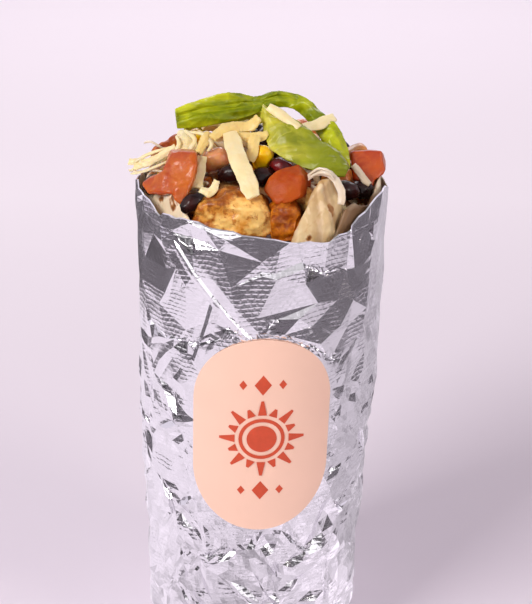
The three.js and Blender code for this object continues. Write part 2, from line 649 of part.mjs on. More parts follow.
function grain() {
  const ball = new THREE.SphereGeometry(0.5, 5, 4).rotateZ(Math.PI / 2);
  return ball.scale(GRAIN_LENGTH, GRAIN_THICKNESS, GRAIN_THICKNESS);
}

function fillingMesh() {
  const beans = scatter(lump(BEAN_SIZE, BEAN_SHAPE), HEAP_BEAN_COUNT, 1.4, 21);
  const grains = scatter(grain(), GRAIN_COUNT, 0.8, 8);
  const fused = [...beans, ...grains].reduce((sum, piece) => sum.add(piece), core);
  const mesh = new THREE.Mesh(geometryFrom(largest(largest(fused).simplify(0.03))), finishes.filling);
  mesh.name = "filling";
  return mesh;
}

burrito.add(fillingMesh());

export default burrito;
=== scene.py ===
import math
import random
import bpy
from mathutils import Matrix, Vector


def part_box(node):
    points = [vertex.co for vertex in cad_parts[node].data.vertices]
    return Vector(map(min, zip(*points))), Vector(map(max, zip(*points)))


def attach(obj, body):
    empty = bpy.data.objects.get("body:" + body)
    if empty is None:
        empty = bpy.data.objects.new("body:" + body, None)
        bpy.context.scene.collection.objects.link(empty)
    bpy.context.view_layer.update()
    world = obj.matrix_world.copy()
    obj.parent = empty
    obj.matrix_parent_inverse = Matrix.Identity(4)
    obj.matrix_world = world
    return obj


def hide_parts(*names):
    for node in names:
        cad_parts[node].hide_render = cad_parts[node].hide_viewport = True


bl_info = {
    "name": "Foil-wrapped burrito",
    "version": (1, 0, 0),
    "blender": (4, 5, 0),
    "location": "View3D > Sidebar > Burrito",
    "description": "Finishes a burrito around its packed frame: foil, label, tortilla, filling and stage",
    "category": "Add Mesh",
}

from contextlib import contextmanager

import bpy
from mathutils import Euler, Matrix, Vector, geometry, noise
from mathutils.bvhtree import BVHTree

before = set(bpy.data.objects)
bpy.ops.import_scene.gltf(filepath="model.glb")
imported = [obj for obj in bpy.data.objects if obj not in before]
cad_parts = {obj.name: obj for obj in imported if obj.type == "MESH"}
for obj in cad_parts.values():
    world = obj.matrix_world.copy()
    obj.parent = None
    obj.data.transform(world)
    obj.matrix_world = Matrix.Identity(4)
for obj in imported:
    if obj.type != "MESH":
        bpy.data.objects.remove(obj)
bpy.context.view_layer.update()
BODY = "root"
MM = 0.001
MERGE_DISTANCE = 0.002 * MM  # of a frame node's loose corners


# ---------------------------------------------------------------- mesh helpers


def deselect_all():
    if bpy.context.object and bpy.context.object.mode != "OBJECT":
        bpy.ops.object.mode_set(mode="OBJECT")
    bpy.ops.object.select_all(action="DESELECT")


def make_active(obj):
    deselect_all()
    obj.select_set(True)
    bpy.context.view_layer.objects.active = obj


@contextmanager
def editing(obj, selected="SELECT"):
    """Edit mode on one piece, with all of it selected, or with none of it."""
    make_active(obj)
    bpy.ops.object.mode_set(mode="EDIT")
    bpy.ops.mesh.select_all(action=selected)
    yield
    bpy.ops.object.mode_set(mode="OBJECT")


def copy_of_node(node, name):
    """A merged copy of a frame node's mesh, as a new object at the origin."""
    obj = bpy.data.objects.new(name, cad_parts[node].data.copy())
    bpy.context.scene.collection.objects.link(obj)
    obj.data.materials.clear()
    with editing(obj):
        bpy.ops.mesh.remove_doubles(threshold=MERGE_DISTANCE)
    return obj


def triangulate():
    """Cuts the selected faces into their most even triangles."""
    bpy.ops.mesh.quads_convert_to_tris(quad_method="BEAUTY", ngon_method="BEAUTY")


def applied(obj, kind, **settings):
    """Adds a modifier with the settings and applies it."""
    make_active(obj)
    modifier = obj.modifiers.new(kind.title(), kind)
    for key, value in settings.items():
        setattr(modifier, key, value)
    bpy.ops.object.modifier_apply(modifier=modifier.name)


def shade_smooth(obj, degrees=None):
    make_active(obj)
    if degrees is None:
        bpy.ops.object.shade_smooth()
    else:
        bpy.ops.object.shade_smooth_by_angle(angle=math.radians(degrees))


def move_points(obj, shift):
    """Moves each point by shift(point, normal), a vector."""
    mesh = obj.data
    moves = [shift(v.co.copy(), v.normal.copy()) for v in mesh.vertices]
    for vertex, move in zip(mesh.vertices, moves):
        vertex.co += move
    mesh.update()


def joined(pieces, name):
    """The pieces as one smooth piece."""
    deselect_all()
    for piece in pieces:
        piece.select_set(True)
    bpy.context.view_layer.objects.active = pieces[0]
    bpy.ops.object.join()
    whole = bpy.context.object
    whole.name = name
    shade_smooth(whole)
    return whole


def finish_piece(obj, material, slot, *nodes):
    """Gives a piece its material, and lets it stand for its nodes. The slot is not used."""
    obj.data.materials.clear()
    obj.data.materials.append(material)
    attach(obj, BODY)
    if nodes:
        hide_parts(*nodes)


# ---------------------------------------------------------------- material helpers


class Nodes:
    """A tree of shader nodes, made and linked by short calls."""

    def __init__(self, tree, coordinates="Object"):
        self.tree = tree
        self.place = tree.nodes.new("ShaderNodeTexCoord").outputs[coordinates]

    def node(self, kind, **settings):
        node = self.tree.nodes.new(kind)
        for key, value in settings.items():
            setattr(node, key, value)
        return node

    def feed(self, socket, value):
        if isinstance(value, bpy.types.NodeSocket):
            self.tree.links.new(value, socket)
        elif isinstance(value, tuple) and len(value) == 3 and socket.type == "RGBA":
            socket.default_value = (*value, 1)
        else:
            socket.default_value = value

    def fed(self, kind, output, inputs, **settings):
        """The named output of a new node, whose inputs are fed."""
        node = self.node(kind, **settings)
        for key, value in inputs.items():
            self.feed(node.inputs[key], value)
        return node.outputs[output]

    def axes(self):
        """The place's X, Y and Z."""
        node = self.node("ShaderNodeSeparateXYZ")
        self.feed(node.inputs["Vector"], self.place)
        return node.outputs

    def attribute(self, name):
        return self.node("ShaderNodeAttribute", attribute_name=name).outputs["Fac"]

    def mapped(self, scale=(1, 1, 1), turn=(0, 0, 0), shift=(0, 0, 0), vector=None):
        inputs = {"Vector": vector or self.place, "Scale": scale, "Rotation": turn, "Location": shift}
        return self.fed("ShaderNodeMapping", "Vector", inputs)

    def shaken(self, vector, scale, reach):
        """A vector moved about by noise."""
        wobble = self.mapped(scale=(reach, reach, reach), vector=self.noise(scale, detail=2, output="Color"))
        return self.fed("ShaderNodeVectorMath", "Vector", {0: vector, 1: wobble}, operation="ADD")

    def noise(self, scale, detail=3, roughness=0.5, distortion=0, vector=None, output="Fac"):
        inputs = {"Scale": scale, "Detail": detail, "Roughness": roughness, "Distortion": distortion}
        return self.fed("ShaderNodeTexNoise", output, {"Vector": vector or self.place, **inputs})

    def ramp(self, value, *stops):
        """A colour or a grey for the value, between stops of (value, colour or grey)."""
        node = self.node("ShaderNodeValToRGB")
        elements = node.color_ramp.elements
        while len(elements) < len(stops):
            elements.new(0.5)
        for element, (position, shade) in zip(elements, stops):
            element.position = position
            element.color = (*(shade if isinstance(shade, tuple) else (shade,) * 3), 1)
        self.feed(node.inputs["Fac"], value)
        return node.outputs["Color"]

    def mix(self, factor, first, second, blend="MIX"):
        inputs = {"Factor": factor, "A": first, "B": second}
        return self.fed("ShaderNodeMix", "Result", inputs, data_type="RGBA", blend_type=blend)

    def turning(self, value, low, high, first, second, most=1.0):
        """The first colour, turning to the second, or to most of it, as the value goes from low to high."""
        return self.mix(self.ramp(value, (low, 0.0), (high, most)), first, second)

    def maths(self, operation, first, second=0.0, third=0.0):
        return self.fed("ShaderNodeMath", "Value", {0: first, 1: second, 2: third}, operation=operation)

    def bump(self, height, distance, strength=1.0, normal=None):
        inputs = {"Height": height, "Distance": distance, "Strength": strength}
        if normal:
            inputs["Normal"] = normal
        return self.fed("ShaderNodeBump", "Normal", inputs)


class Shader(Nodes):
    """A material, with its surface's settings."""

    def __init__(self, name):
        self.material = bpy.data.materials.new(name)
        self.material.use_nodes = True
        self.surface = self.material.node_tree.nodes["Principled BSDF"]
        super().__init__(self.material.node_tree)

    def set(self, **values):
        for key, value in values.items():
            self.feed(self.surface.inputs[key.replace("_", " ")], value)

    def let_in_light(self, weight, depth, tints):
        """Lets light spread inside it, to a depth in mm times the tints for red, green and blue."""
        self.set(Subsurface_Weight=weight, Subsurface_Scale=depth * MM, Subsurface_Radius=tints)


def colour(hex_code):
    """Linear colour of a web colour such as "f0e0c0"."""
    parts = [int(hex_code[i : i + 2], 16) / 255 for i in (0, 2, 4)]
    return tuple(p / 12.92 if p <= 0.04045 else ((p + 0.055) / 1.055) ** 2.4 for p in parts)


def tinted(shade, red, green, blue):
    """A colour with its parts multiplied, each to 1 at most."""
    return tuple(min(part * share, 1) for part, share in zip(shade, (red, green, blue)))


def brighter(shade, share):
    """A light or dark of the same hue, which may be brighter than 1, as a lamp is."""
    return tuple(part * share for part in shade)


def chosen(value):
    """A colour property as a plain tuple."""
    return tuple(value)[:3]


# ---------------------------------------------------------------- settings


def colour_property(name, description, hex_code):
    return bpy.props.FloatVectorProperty(
        name=name, description=description, subtype="COLOR", size=3, min=0, max=1, default=colour(hex_code)
    )


def length_property(name, description, default):
    return bpy.props.FloatProperty(
        name=name, description=description, default=default, min=0, subtype="DISTANCE", unit="LENGTH"
    )


class WrapSettings(bpy.types.PropertyGroup):
    foil_colour: colour_property("Foil", "Colour of the bare metal", "f1eff3")
    crumple_depth: length_property("Crumple depth", "How far the foil's facets stand in and out", 1.3 * MM)
    label_colour: colour_property("Label", "Colour of the paper", "fdd2ba")
    print_colour: colour_property("Print", "Colour of the label's print", "cf4b27")
    tortilla_colour: colour_property("Tortilla", "Colour of the flatbread", "f4e0c4")
    toast_colour: colour_property("Toasted spots", "Colour of the griddle's spots", "a4662c")


class FillingSettings(bpy.types.PropertyGroup):
    chicken_colour: colour_property("Chicken", "Colour of the cooked meat", "e39b40")
    tomato_colour: colour_property("Tomato", "Colour of the diced tomato", "c8602c")
    bean_colour: colour_property("Black bean", "Colour of a bean's skin", "1d0e0e")
    kidney_colour: colour_property("Kidney bean", "Colour of a kidney bean's skin", "480f14")
    corn_colour: colour_property("Sweetcorn", "Colour of a kernel", "ffbe0a")
    cheese_colour: colour_property("Cheese", "Colour of the grated cheese", "fbe9bc")
    onion_colour: colour_property("Onion", "Colour of the onion slivers", "f6ead2")
    lettuce_colour: colour_property("Lettuce", "Colour of the leaf", "b0b42c")
    rice_colour: colour_property("Rice", "Colour of a cooked grain", "ecdcc0")
    rice_count: bpy.props.IntProperty(
        name="Rice grains", description="Loose grains over the heap", default=420, min=0, max=2000
    )


class StageSettings(bpy.types.PropertyGroup):
    backdrop_colour: colour_property("Backdrop", "Colour of the floor and the wall", "ede3ee")
    camera_distance: length_property("Camera distance", "From the lens to the burrito", 0.439)
    camera_height_angle: bpy.props.FloatProperty(
        name="Camera height", description="Angle above the horizon", default=math.radians(24), subtype="ANGLE"
    )


SETTING_GROUPS = {
    "burrito_wrap": WrapSettings,
    "burrito_filling": FillingSettings,
    "burrito_stage": StageSettings,
}


# ---------------------------------------------------------------- the stage

FLOOR_SIZE = 12
MIRROR_SIZE = 4  # the floor that glossy pieces see
MIRROR_HEIGHT = 1 * MM
MIRROR_EDGE = 0.255  # how far its pale part reaches before the dark room begins
AIM = Vector((5.7 * MM, 0, 125.3 * MM))
LIGHTS_AIM = Vector((0, 0, 0.12))
LENS = 81.18
# Each light's name, place, size across and up, power and tint.
LIGHTS = (
    ("key_light", (-0.65, -0.6, 0.75), (0.45, 0.45), 8.6, (1, 0.98, 0.96)),
    ("fill_light", (0.8, -0.6, 0.5), (0.3, 0.6), 3.0, (1, 0.95, 0.88)),
    ("back_light", (0.0, 1.3, 0.8), (1.6, 0.5), 9.0, (1, 0.98, 1)),
)


class BURRITO_OT_stage(bpy.types.Operator):
    """Adds the floor, the lights, the surroundings and the camera"""

    bl_idname = "burrito.stage"
    bl_label = "Stage"

    def execute(self, context):
        settings = context.scene.burrito_stage
        self.add_floor(chosen(settings.backdrop_colour))
        self.add_mirrored_floor(brighter(chosen(settings.backdrop_colour), 1.12))
        self.add_world(context.scene, chosen(settings.backdrop_colour))
        self.add_lights()
        self.add_camera(context.scene, settings)
        context.scene.view_settings.view_transform = "Standard"
        return {"FINISHED"}

    def add_floor(self, shade):
        """The floor, painted lighter farther back: painted light that stands in for more light falling there.
        """
        deselect_all()
        bpy.ops.mesh.primitive_plane_add(size=FLOOR_SIZE, location=(0, 0, 0))
        floor = bpy.context.object
        floor.name = "floor"
        shader = Shader("floor")
        near = tinted(shade, 0.93, 0.92, 0.92)
        far = tuple(part * share for part, share in zip(near, (1.29, 1.32, 1.27)))
        # Painted light: the colour grows lighter with distance back, then a little darker again at the far
        # end.
        depth = ((0.04, 0.0), (0.17, 0.35), (0.28, 0.62), (0.45, 1.0), (0.9, 0.83))
        painted_light_sweep = shader.mix(shader.ramp(shader.axes()["Y"], *depth), near, far)
        shader.set(Base_Color=painted_light_sweep, Roughness=0.7, Specular_IOR_Level=0.0)
        floor.data.materials.append(shader.material)

    def add_mirrored_floor(self, shade):
        """What the foil and the wet food mirror: a pale floor near by, and a dark room past its edges."""
        deselect_all()
        bpy.ops.mesh.primitive_plane_add(size=MIRROR_SIZE, location=(0, 0, MIRROR_HEIGHT))
        card = bpy.context.object
        card.name = "mirrored_floor"
        bpy.ops.object.transform_apply(location=True, rotation=True, scale=True)
        shader = Shader("mirrored_floor")
        reach = self.floor_reach(shader)
        floor = self.mirrored_floor_colour(shader, reach, shade)
        ragged = shader.maths("MULTIPLY_ADD", shader.noise(9, detail=2), 0.05, -0.025)
        edge = shader.maths("ADD", reach, ragged)
        walls = ((0.4, colour("1a1819")), (0.5, colour("5c565a")), (0.6, colour("b9b1bc")))
        room = shader.ramp(shader.noise(34, detail=4, roughness=0.6), *walls)
        seen = shader.turning(edge, MIRROR_EDGE, MIRROR_EDGE + 0.025, floor, room)
        glow = shader.fed("ShaderNodeEmission", "Emission", {"Color": seen})
        shader.feed(shader.tree.nodes["Material Output"].inputs["Surface"], glow)
        card.data.materials.append(shader.material)
        card.visible_camera = False
        card.visible_diffuse = False
        card.visible_shadow = False
        card.visible_transmission = False

    def floor_reach(self, shader):
        """How far a point lies from the burrito, to the front or to either side, more for those in front."""
        x, y, _ = shader.axes()
        behind = shader.maths("MAXIMUM", y, 0.0)
        to_the_right = shader.maths("SUBTRACT", shader.maths("ADD", x, 0.018), behind)
        to_the_left = shader.maths("SUBTRACT", shader.maths("MULTIPLY_ADD", behind, 0.3, -0.02), x)
        beside = shader.maths("MAXIMUM", to_the_right, to_the_left)
        return shader.maths("MAXIMUM", beside, shader.maths("MULTIPLY", y, -0.92))

    def mirrored_floor_colour(self, shader, reach, shade):
        """Mottled near by and even farther out, paler at the left and dimmer at the right."""
        x, y, _ = shader.axes()
        levels = ((0.34, 0.36), (0.47, 0.76), (0.56, 0.96), (0.66, 1.4))
        patches = shader.noise(24, roughness=0.6)
        mottled = shader.ramp(patches, *((place, brighter(shade, level)) for place, level in levels))
        leftwards = shader.maths("MULTIPLY", x, -1.0)
        near = shader.turning(leftwards, 0.04, 0.1, mottled, brighter(shade, 1.08), 0.6)
        even = shader.turning(reach, 0.17, 0.23, near, brighter(shade, 1.04))
        sideways = shader.maths("ADD", x, shader.maths("MULTIPLY", y, 0.8))
        dimmed = shader.ramp(sideways, (0.06, 1.0), (0.12, 0.72))
        return shader.mix(1.0, even, dimmed, blend="MULTIPLY")

    def add_world(self, scene, shade):
        """A pale room for plain light. What mirrors it sees a dark room in front, soft boxes above and a pale
        wall behind."""
        world = bpy.data.worlds.new("studio")
        scene.world = world
        world.use_nodes = True
        sky = Nodes(world.node_tree, "Generated")
        _, y, z = sky.axes()
        boxes = sky.ramp(z, (0.1, 0.0), (0.24, 1.0), (0.8, 1.0), (0.95, 0.3))
        patches = sky.ramp(sky.noise(3.2, detail=2), (0.3, 0.12), (0.44, 1.0))
        front = sky.mix(sky.maths("MULTIPLY", boxes, patches), colour("2a272a"), (1.35, 1.3, 1.35))
        mirrored = sky.turning(y, 0.0, 0.25, front, (0.82, 0.76, 0.86))
        mirroring = sky.node("ShaderNodeLightPath").outputs["Is Glossy Ray"]
        background = world.node_tree.nodes["Background"]
        sky.feed(background.inputs["Color"], sky.mix(mirroring, brighter(shade, 0.35), mirrored))
        background.inputs["Strength"].default_value = 1.0

    def add_lights(self):
        for name, place, size, power, tint in LIGHTS:
            deselect_all()
            bpy.ops.object.light_add(type="AREA", location=place)
            light = bpy.context.object
            light.name = name
            light.data.shape = "RECTANGLE"
            light.data.size, light.data.size_y = size
            light.data.energy = power
            light.data.color = tint
            light.rotation_euler = (LIGHTS_AIM - light.location).to_track_quat("-Z", "Y").to_euler()

    def add_camera(self, scene, settings):
        angle = settings.camera_height_angle
        away = Vector((0, -math.cos(angle), math.sin(angle))) * settings.camera_distance
        deselect_all()
        bpy.ops.object.camera_add(location=AIM + away, rotation=(-away).to_track_quat("-Z", "Y").to_euler())
        camera = bpy.context.object
        camera.name = "camera"
        camera.data.lens = LENS
        scene.camera = camera


# ---------------------------------------------------------------- the wrap

RIM_HEIGHT = 164 * MM
LEAN = 4.5 * MM  # how far the rim's centre stands to the side of the foot's
RIM_RADIUS = 39 * MM
BASE_RADIUS = 35.6 * MM
FOOT_RADIUS = 31 * MM
FAR_OUT = 0.1  # from the axis, well outside the foil
LABEL_TURN = math.radians(2.5)
LABEL_WIDTH = 44 * MM
LABEL_HEIGHT = 67 * MM
LABEL_STRAIGHT = (LABEL_HEIGHT - LABEL_WIDTH) / 2
LABEL_CENTRE_HEIGHT = 97 * MM


def smoothstep(value, low, high):
    share = min(max((value - low) / (high - low), 0), 1)
    return share * share * (3 - 2 * share)


def axis_x(height):
    return LEAN * height / RIM_HEIGHT


def wrap_radius(height):
    return BASE_RADIUS + (RIM_RADIUS - BASE_RADIUS) * smoothstep(height, 15 * MM, 125 * MM)


def around(point):
    """Turn about the leaning axis, from the front towards +X, and the distance from that axis."""
    x = point.x - axis_x(point.z)
    return math.atan2(x, -point.y), math.hypot(x, point.y)


def outwards(turn):
    return Vector((math.sin(turn), -math.cos(turn), 0))


def wrap_point(turn, radius, height):
    return Vector((axis_x(height), 0, height)) + radius * outwards(turn)


def turn_between(turn, other):
    return (turn - other + math.pi) % math.tau - math.pi


def under_label(point, margin):
    """1 where the label lies on the foil, falling to 0 over the margin round it."""
    turn, _ = around(point)
    sideways = turn_between(turn, LABEL_TURN) * RIM_RADIUS
    past_straight = max(abs(point.z - LABEL_CENTRE_HEIGHT) - LABEL_STRAIGHT, 0)
    return 1 - smoothstep(math.hypot(sideways, past_straight) - LABEL_WIDTH / 2, 0, margin)


def tree_of(node):
    """A frame node's mesh, for asking what a ray hits or what lies nearest."""
    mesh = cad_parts[node].data
    corners = [vertex.co.copy() for vertex in mesh.vertices]
    return BVHTree.FromPolygons(corners, [tuple(polygon.vertices) for polygon in mesh.polygons])


class Wall:
    """The frame's foil, for asking where its outside and its rim lie."""

    def __init__(self, node):
        self.tree = tree_of(node)
        self.points = [vertex.co.copy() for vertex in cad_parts[node].data.vertices]
        self.rim_corners = self.find_rim()

    def outside(self, turn, height):
        """Its outer radius at this turn and height, or None above its rim."""
        start = wrap_point(turn, FAR_OUT, height)
        hit, _, _, distance = self.tree.ray_cast(start, -outwards(turn), FAR_OUT)
        return None if hit is None else FAR_OUT - distance

    def find_rim(self):
        """Turn, radius and height of each corner of the outer rim, in order and closed on itself."""
        corners = sorted({(*around(p), p.z) for p in self.points if self.on_rim(p)})
        first, last = corners[0], corners[-1]
        return [(last[0] - math.tau, *last[1:]), *corners, (first[0] + math.tau, *first[1:])]

    def rim(self, turn):
        """Radius and height of its outer rim at this turn."""
        for before, after in zip(self.rim_corners, self.rim_corners[1:]):
            if before[0] <= turn <= after[0] and after[0] > before[0]:
                share = (turn - before[0]) / (after[0] - before[0])
                return tuple(a + (b - a) * share for a, b in zip(before[1:], after[1:]))
        raise ValueError("no rim at this turn")

    def on_rim(self, point):
        """Whether a corner is the topmost of the outer side."""
        if point.z < LOWEST_RIM:
            return False
        turn, radius = around(point)
        reached = self.outside(turn, point.z - 0.3 * MM)
        above = self.outside(turn, point.z + 0.4 * MM)
        return reached is not None and above is None and radius > reached - 0.4 * MM


# ---- foil

SHEET_COLUMNS = 20
SHEET_ROWS = 12
FOOT_ROWS = 3
LOWEST_RIM = 144 * MM
FOIL_THICKNESS = 0.22 * MM
MOST_OUT = 1.7 * MM
MOST_IN = -1.1 * MM
# Each level of crumples: their size, their depth as a share of the chosen one, and a seed.
LARGE_CRUMPLES = (6 * MM, 1, 11)
MIDDLE_CRUMPLES = (3 * MM, 0.9, 12)
SMALL_CRUMPLES = (0.8 * MM, 0.13, 13)
SHEET_SEED = 5
ROLLED_ABOVE = 150 * MM  # lower open edges aren't the rim
ROLLED_IN = 0.4 * MM
ROLLED_UP = 0.26 * MM
EMBOSSED_BRICK = (2.1, 1.45, 0.5)  # width, height and gap in mm

# Long folds, each from one (turn in degrees, height in mm) to another, with the foil's depth in mm at
# distances in mm from the fold's line: the side on the left of the way it runs is positive.
FOLDS = (
    ((-39.5, 157.5), (-5, 131), ((-2, 0), (-0.5, 0.65), (0.3, 0.6), (0.95, -0.1))),
    ((-21, 141), (-30, 122), ((-3, 0), (-0.7, -0.4), (0.7, 0.4), (3, 0))),
)

# Corners of the flat panels in the foil's upper part: turn in degrees, height in mm, and how far the foil
# stands out from its smooth wall in mm. Those at the rim stand just above it.
PANEL_CORNERS = {
    "rim_far_left": (-68, 169, -0.2),
    "rim_left": (-45, 166, 0.6),
    "far_left_fold": (-62, 163, 0.7),
    "far_left_low": (-57, 157, -0.5),
    "far_left_dent": (-64, 156, 0.6),
    "near_left_fold": (-51, 161, -0.3),
    "near_left_edge": (-47.5, 157, 0.9),
    "lip_left": (-36, 168.5, 0.7),
    "lip": (-25, 170, 0.2),
    "lip_right": (-13, 166, 0.1),
    "rim_middle": (-4, 164, 0.5),
    "rim_right": (16, 162.5, 0.1),
    "rim_notch": (30, 161.5, 0.3),
    "rim_corner": (41, 163, 0.8),
    "strip_top": (43.6, 163.6, -0.8),
    "strip_middle": (44.6, 148.8, 0.7),
    "strip_fold": (49, 157, -0.2),
    "rim_far_right": (58, 168.5, -0.6),
    "curl_far_left": (-36.5, 163.5, 0.4),
    "curl_left": (-31, 165.6, 1.9),
    "curl": (-23, 164.3, 2.1),
    "curl_right": (-14.5, 162, 1.6),
    "curl_under_left": (-31, 160.5, -0.3),
    "curl_under": (-24, 160, 0.2),
    "curl_under_right": (-17.5, 158.6, 1.5),
    "dark_patch": (-28, 157.6, 1.0),
    "left_band_top_outer": (-68, 151.5, 0.2),
    "left_band_top": (-44.7, 153, 0.3),
    "left_band_foot_outer": (-66, 147.5, -0.5),
    "left_band_foot": (-46.5, 148, -0.4),
    "left_ledge_outer": (-66, 140, 0.5),
    "left_ledge": (-46, 140.5, 0.5),
    "left_dent_outer": (-64, 135.5, -0.2),
    "left_dent": (-52, 135.5, -0.3),
    "left_foot_outer": (-63, 128, -0.7),
    "left_foot": (-52, 126, -0.9),
    "flap_head": (-42, 161, 0.6),
    "flap_top": (-38.6, 155, 0.4),
    "flap_right_top": (-29.5, 155.4, 1.3),
    "flap_right": (-18.4, 148.1, 1.4),
    "flap_right_low": (-10.7, 141.4, 1.2),
    "flap_right_foot": (0, 132.5, 0.3),
    "flap_left": (-29, 150, 0.9),
    "flap_left_low": (-20.6, 143.2, 0.7),
    "flap_left_foot": (-7, 132, 0.1),
    "band_head": (-38.6, 150.5, 0.9),
    "band_outer": (-44.8, 138.3, -0.4),
    "band_inner": (-33.5, 145, 0.7),
    "band_foot": (-35, 130, -0.9),
    "band_foot_outer": (-48, 125, -0.9),
    "wedge_top": (-24, 141, 0.3),
    "wedge_foot": (-30, 126.5, -0.9),
    "beside_label": (-17, 130, -0.6),
    "above_label": (-22, 135, -0.4),
    "dark_foot": (-12.1, 147, 1.2),
    "stripe_end": (0.4, 155.2, 0.4),
    "stripe_top": (8, 158.8, 0.0),
    "crease_left": (0.5, 152.1, 0.1),
    "crease_middle": (6.3, 151.3, -0.3),
    "crease_right": (18.2, 154.1, -1.0),
    "crease_left_low": (0.6, 150.9, 0.5),
    "crease_middle_low": (6.5, 149.9, 1.0),
    "crease_right_low": (18.6, 152.4, 0.7),
    "step_upper": (22, 151.8, -1.2),
    "step": (29.9, 149, -1.3),
    "step_inner": (19.5, 147.7, 0.5),
    "notch": (34.6, 149.2, -1.3),
    "notch_right": (42.2, 148.5, -1.2),
    "triangle_left": (-0.6, 137.5, 0.25),
    "triangle_right": (26.1, 140.6, 0.0),
    "purple_middle": (36.6, 139.9, -0.2),
    "purple_foot": (33.6, 129.6, 0.4),
    "strip_left": (44.4, 138.7, 1.1),
    "strip_right": (57, 148.4, 0.6),
    "strip_foot": (54, 134, 1.2),
    "tangle_left": (8, 136.5, -0.5),
    "tangle_ridge": (17, 136.8, 0.9),
    "tangle_low": (11, 132, 0.6),
    "tangle_right": (24, 133, -0.3),
    "tangle_corner": (28, 127, 0.5),
    "streak_top": (38, 131.5, 0.8),
    "streak_top_right": (43.5, 130, -0.1),
    "streak_foot": (34.5, 120.5, -0.5),
    "streak_foot_right": (41, 119.5, -0.4),
    "under_strip": (52, 124, 0.5),
}

# Creases through corners that the evenest triangles would not join.
PANEL_CREASES = (
    ("flap_head", "flap_top", "flap_left", "flap_left_low", "flap_left_foot"),
    ("flap_head", "flap_right_top", "flap_right", "flap_right_low", "flap_right_foot"),
    ("dark_foot", "stripe_end", "stripe_top"),
    ("crease_left", "crease_middle", "crease_right"),
    ("crease_left_low", "crease_middle_low", "crease_right_low"),
    ("crease_middle_low", "triangle_left"),
    ("crease_right_low", "step_inner", "triangle_right"),
    ("triangle_left", "triangle_right"),
    ("crease_right", "step_upper", "step", "notch", "notch_right"),
    ("step", "triangle_right"),
    ("notch", "purple_middle", "purple_foot"),
    ("notch_right", "strip_left"),
    ("rim_corner", "notch_right"),
    ("strip_top", "strip_middle", "strip_left"),
    ("band_head", "band_outer"),
    ("curl_left", "curl", "curl_right"),
    ("curl_under_left", "curl_under"),
    ("left_band_top", "left_band_foot"),
)
PANEL_SPREAD = math.radians(30)  # a wider panel would cut into the tortilla


def looseness(point):
    """How finely the foil is crumpled: little in the upper part, and not at all under the label."""
    turn = math.degrees(abs(around(point)[0]))
    sides = smoothstep(turn, 40, 56) * (1 - smoothstep(turn, 85, 105))
    low = (1 - smoothstep(point.z, 96 * MM, 126 * MM)) * (1 - 0.5 * sides)
    patches = smoothstep(noise.noise(point * 34 + Vector((3, 1, 8))), 0.05, 0.5)
    lip = smoothstep(point.z, RIM_HEIGHT - 9 * MM, RIM_HEIGHT - 3 * MM) * smoothstep(-point.x, 2 * MM, 9 * MM)
    return (0.07 + 0.93 * max(low, 0.3 * patches, 0.12 * lip)) * (1 - under_label(point, 6 * MM))


def cell_draw(point, size, seed):
    """A random vector that is the same for all points at one place."""
    key = Vector([round(part / size) for part in point]) + Vector((seed, 0.37, 0.71))
    return noise.cell_vector(key * 7.13) - Vector((0.5, 0.5, 0.5))


def between(stops, place):
    """The value at a place of a line through (place, value) stops, and 0 beyond its ends."""
    if not stops[0][0] < place < stops[-1][0]:
        return 0
    for (low, first), (high, second) in zip(stops, stops[1:]):
        if place <= high:
            return first + (second - first) * (place - low) / (high - low)


def foil_corner(turn, height, out=0):
    """A point by its turn in degrees, and its height and how far it stands out from the smooth wall in mm."""
    return wrap_point(math.radians(turn), wrap_radius(height * MM) + out * MM, height * MM)


class LongFold:
    """One of the long folds, as a line on the foil."""

    def __init__(self, start, end, profile):
        first, last = foil_corner(*start), foil_corner(*end)
        self.start = first
        self.along = (last - first).normalized()
        self.length = (last - first).length
        self.out = outwards(around((first + last) / 2)[0])
        self.across = self.out.cross(self.along).normalized()
        self.profile = [(distance * MM, depth * MM) for distance, depth in profile]

    def place(self, point):
        """How far along and across the line a point lies."""
        offset = point - self.start
        return offset.dot(self.along), offset.dot(self.across)

    def near(self, point, margin):
        along, across = self.place(point)
        inside = self.profile[0][0] - margin < across < self.profile[-1][0] + margin
        return inside and -margin < along < self.length + margin and point.dot(self.out) > 0

    def depth(self, point):
        if not self.near(point, 2 * MM):
            return 0
        along, across = self.place(point)
        begun = smoothstep(along, -1.5 * MM, 1.5 * MM)
        fade = begun * (1 - smoothstep(along, self.length, self.length + 2 * MM))
        return between(self.profile, across) * fade if fade else 0


class Panels:
    """The flat panels, as triangles between their corners."""

    def __init__(self):
        names = list(PANEL_CORNERS)
        turns = [math.radians(turn) for turn, _, _ in PANEL_CORNERS.values()]
        heights = [height * MM for _, height, _ in PANEL_CORNERS.values()]
        flat = [Vector((turn * RIM_RADIUS, height)) for turn, height in zip(turns, heights)]
        lines = [[names.index(name) for name in crease] for crease in PANEL_CREASES]
        creases = [pair for line in lines for pair in zip(line, line[1:])]
        _, _, faces, *_ = geometry.delaunay_2d_cdt(flat, creases, [], 0, 0.001 * MM)
        self.corners = [foil_corner(*corner) for corner in PANEL_CORNERS.values()]
        self.faces = []
        for face in faces:
            face_turns = [turns[corner] for corner in face]
            if max(face_turns) - min(face_turns) < PANEL_SPREAD:
                self.faces.append(face)
        self.tree = BVHTree.FromPolygons(self.corners, self.faces)

    def creases(self):
        """Each side of a panel once, as its two ends."""
        sides = {tuple(sorted((face[i], face[i - 1]))) for face in self.faces for i in range(len(face))}
        return [(self.corners[first], self.corners[second]) for first, second in sorted(sides)]

    def radius(self, point):
        """How far from the axis the panels stand at a point of the foil, or None past their ends."""
        turn, _ = around(point)
        hit, _, _, distance = self.tree.ray_cast(wrap_point(turn, 0, point.z), outwards(turn))
        return None if hit is None else max(distance, RIM_RADIUS + MOST_IN - 0.4 * MM)


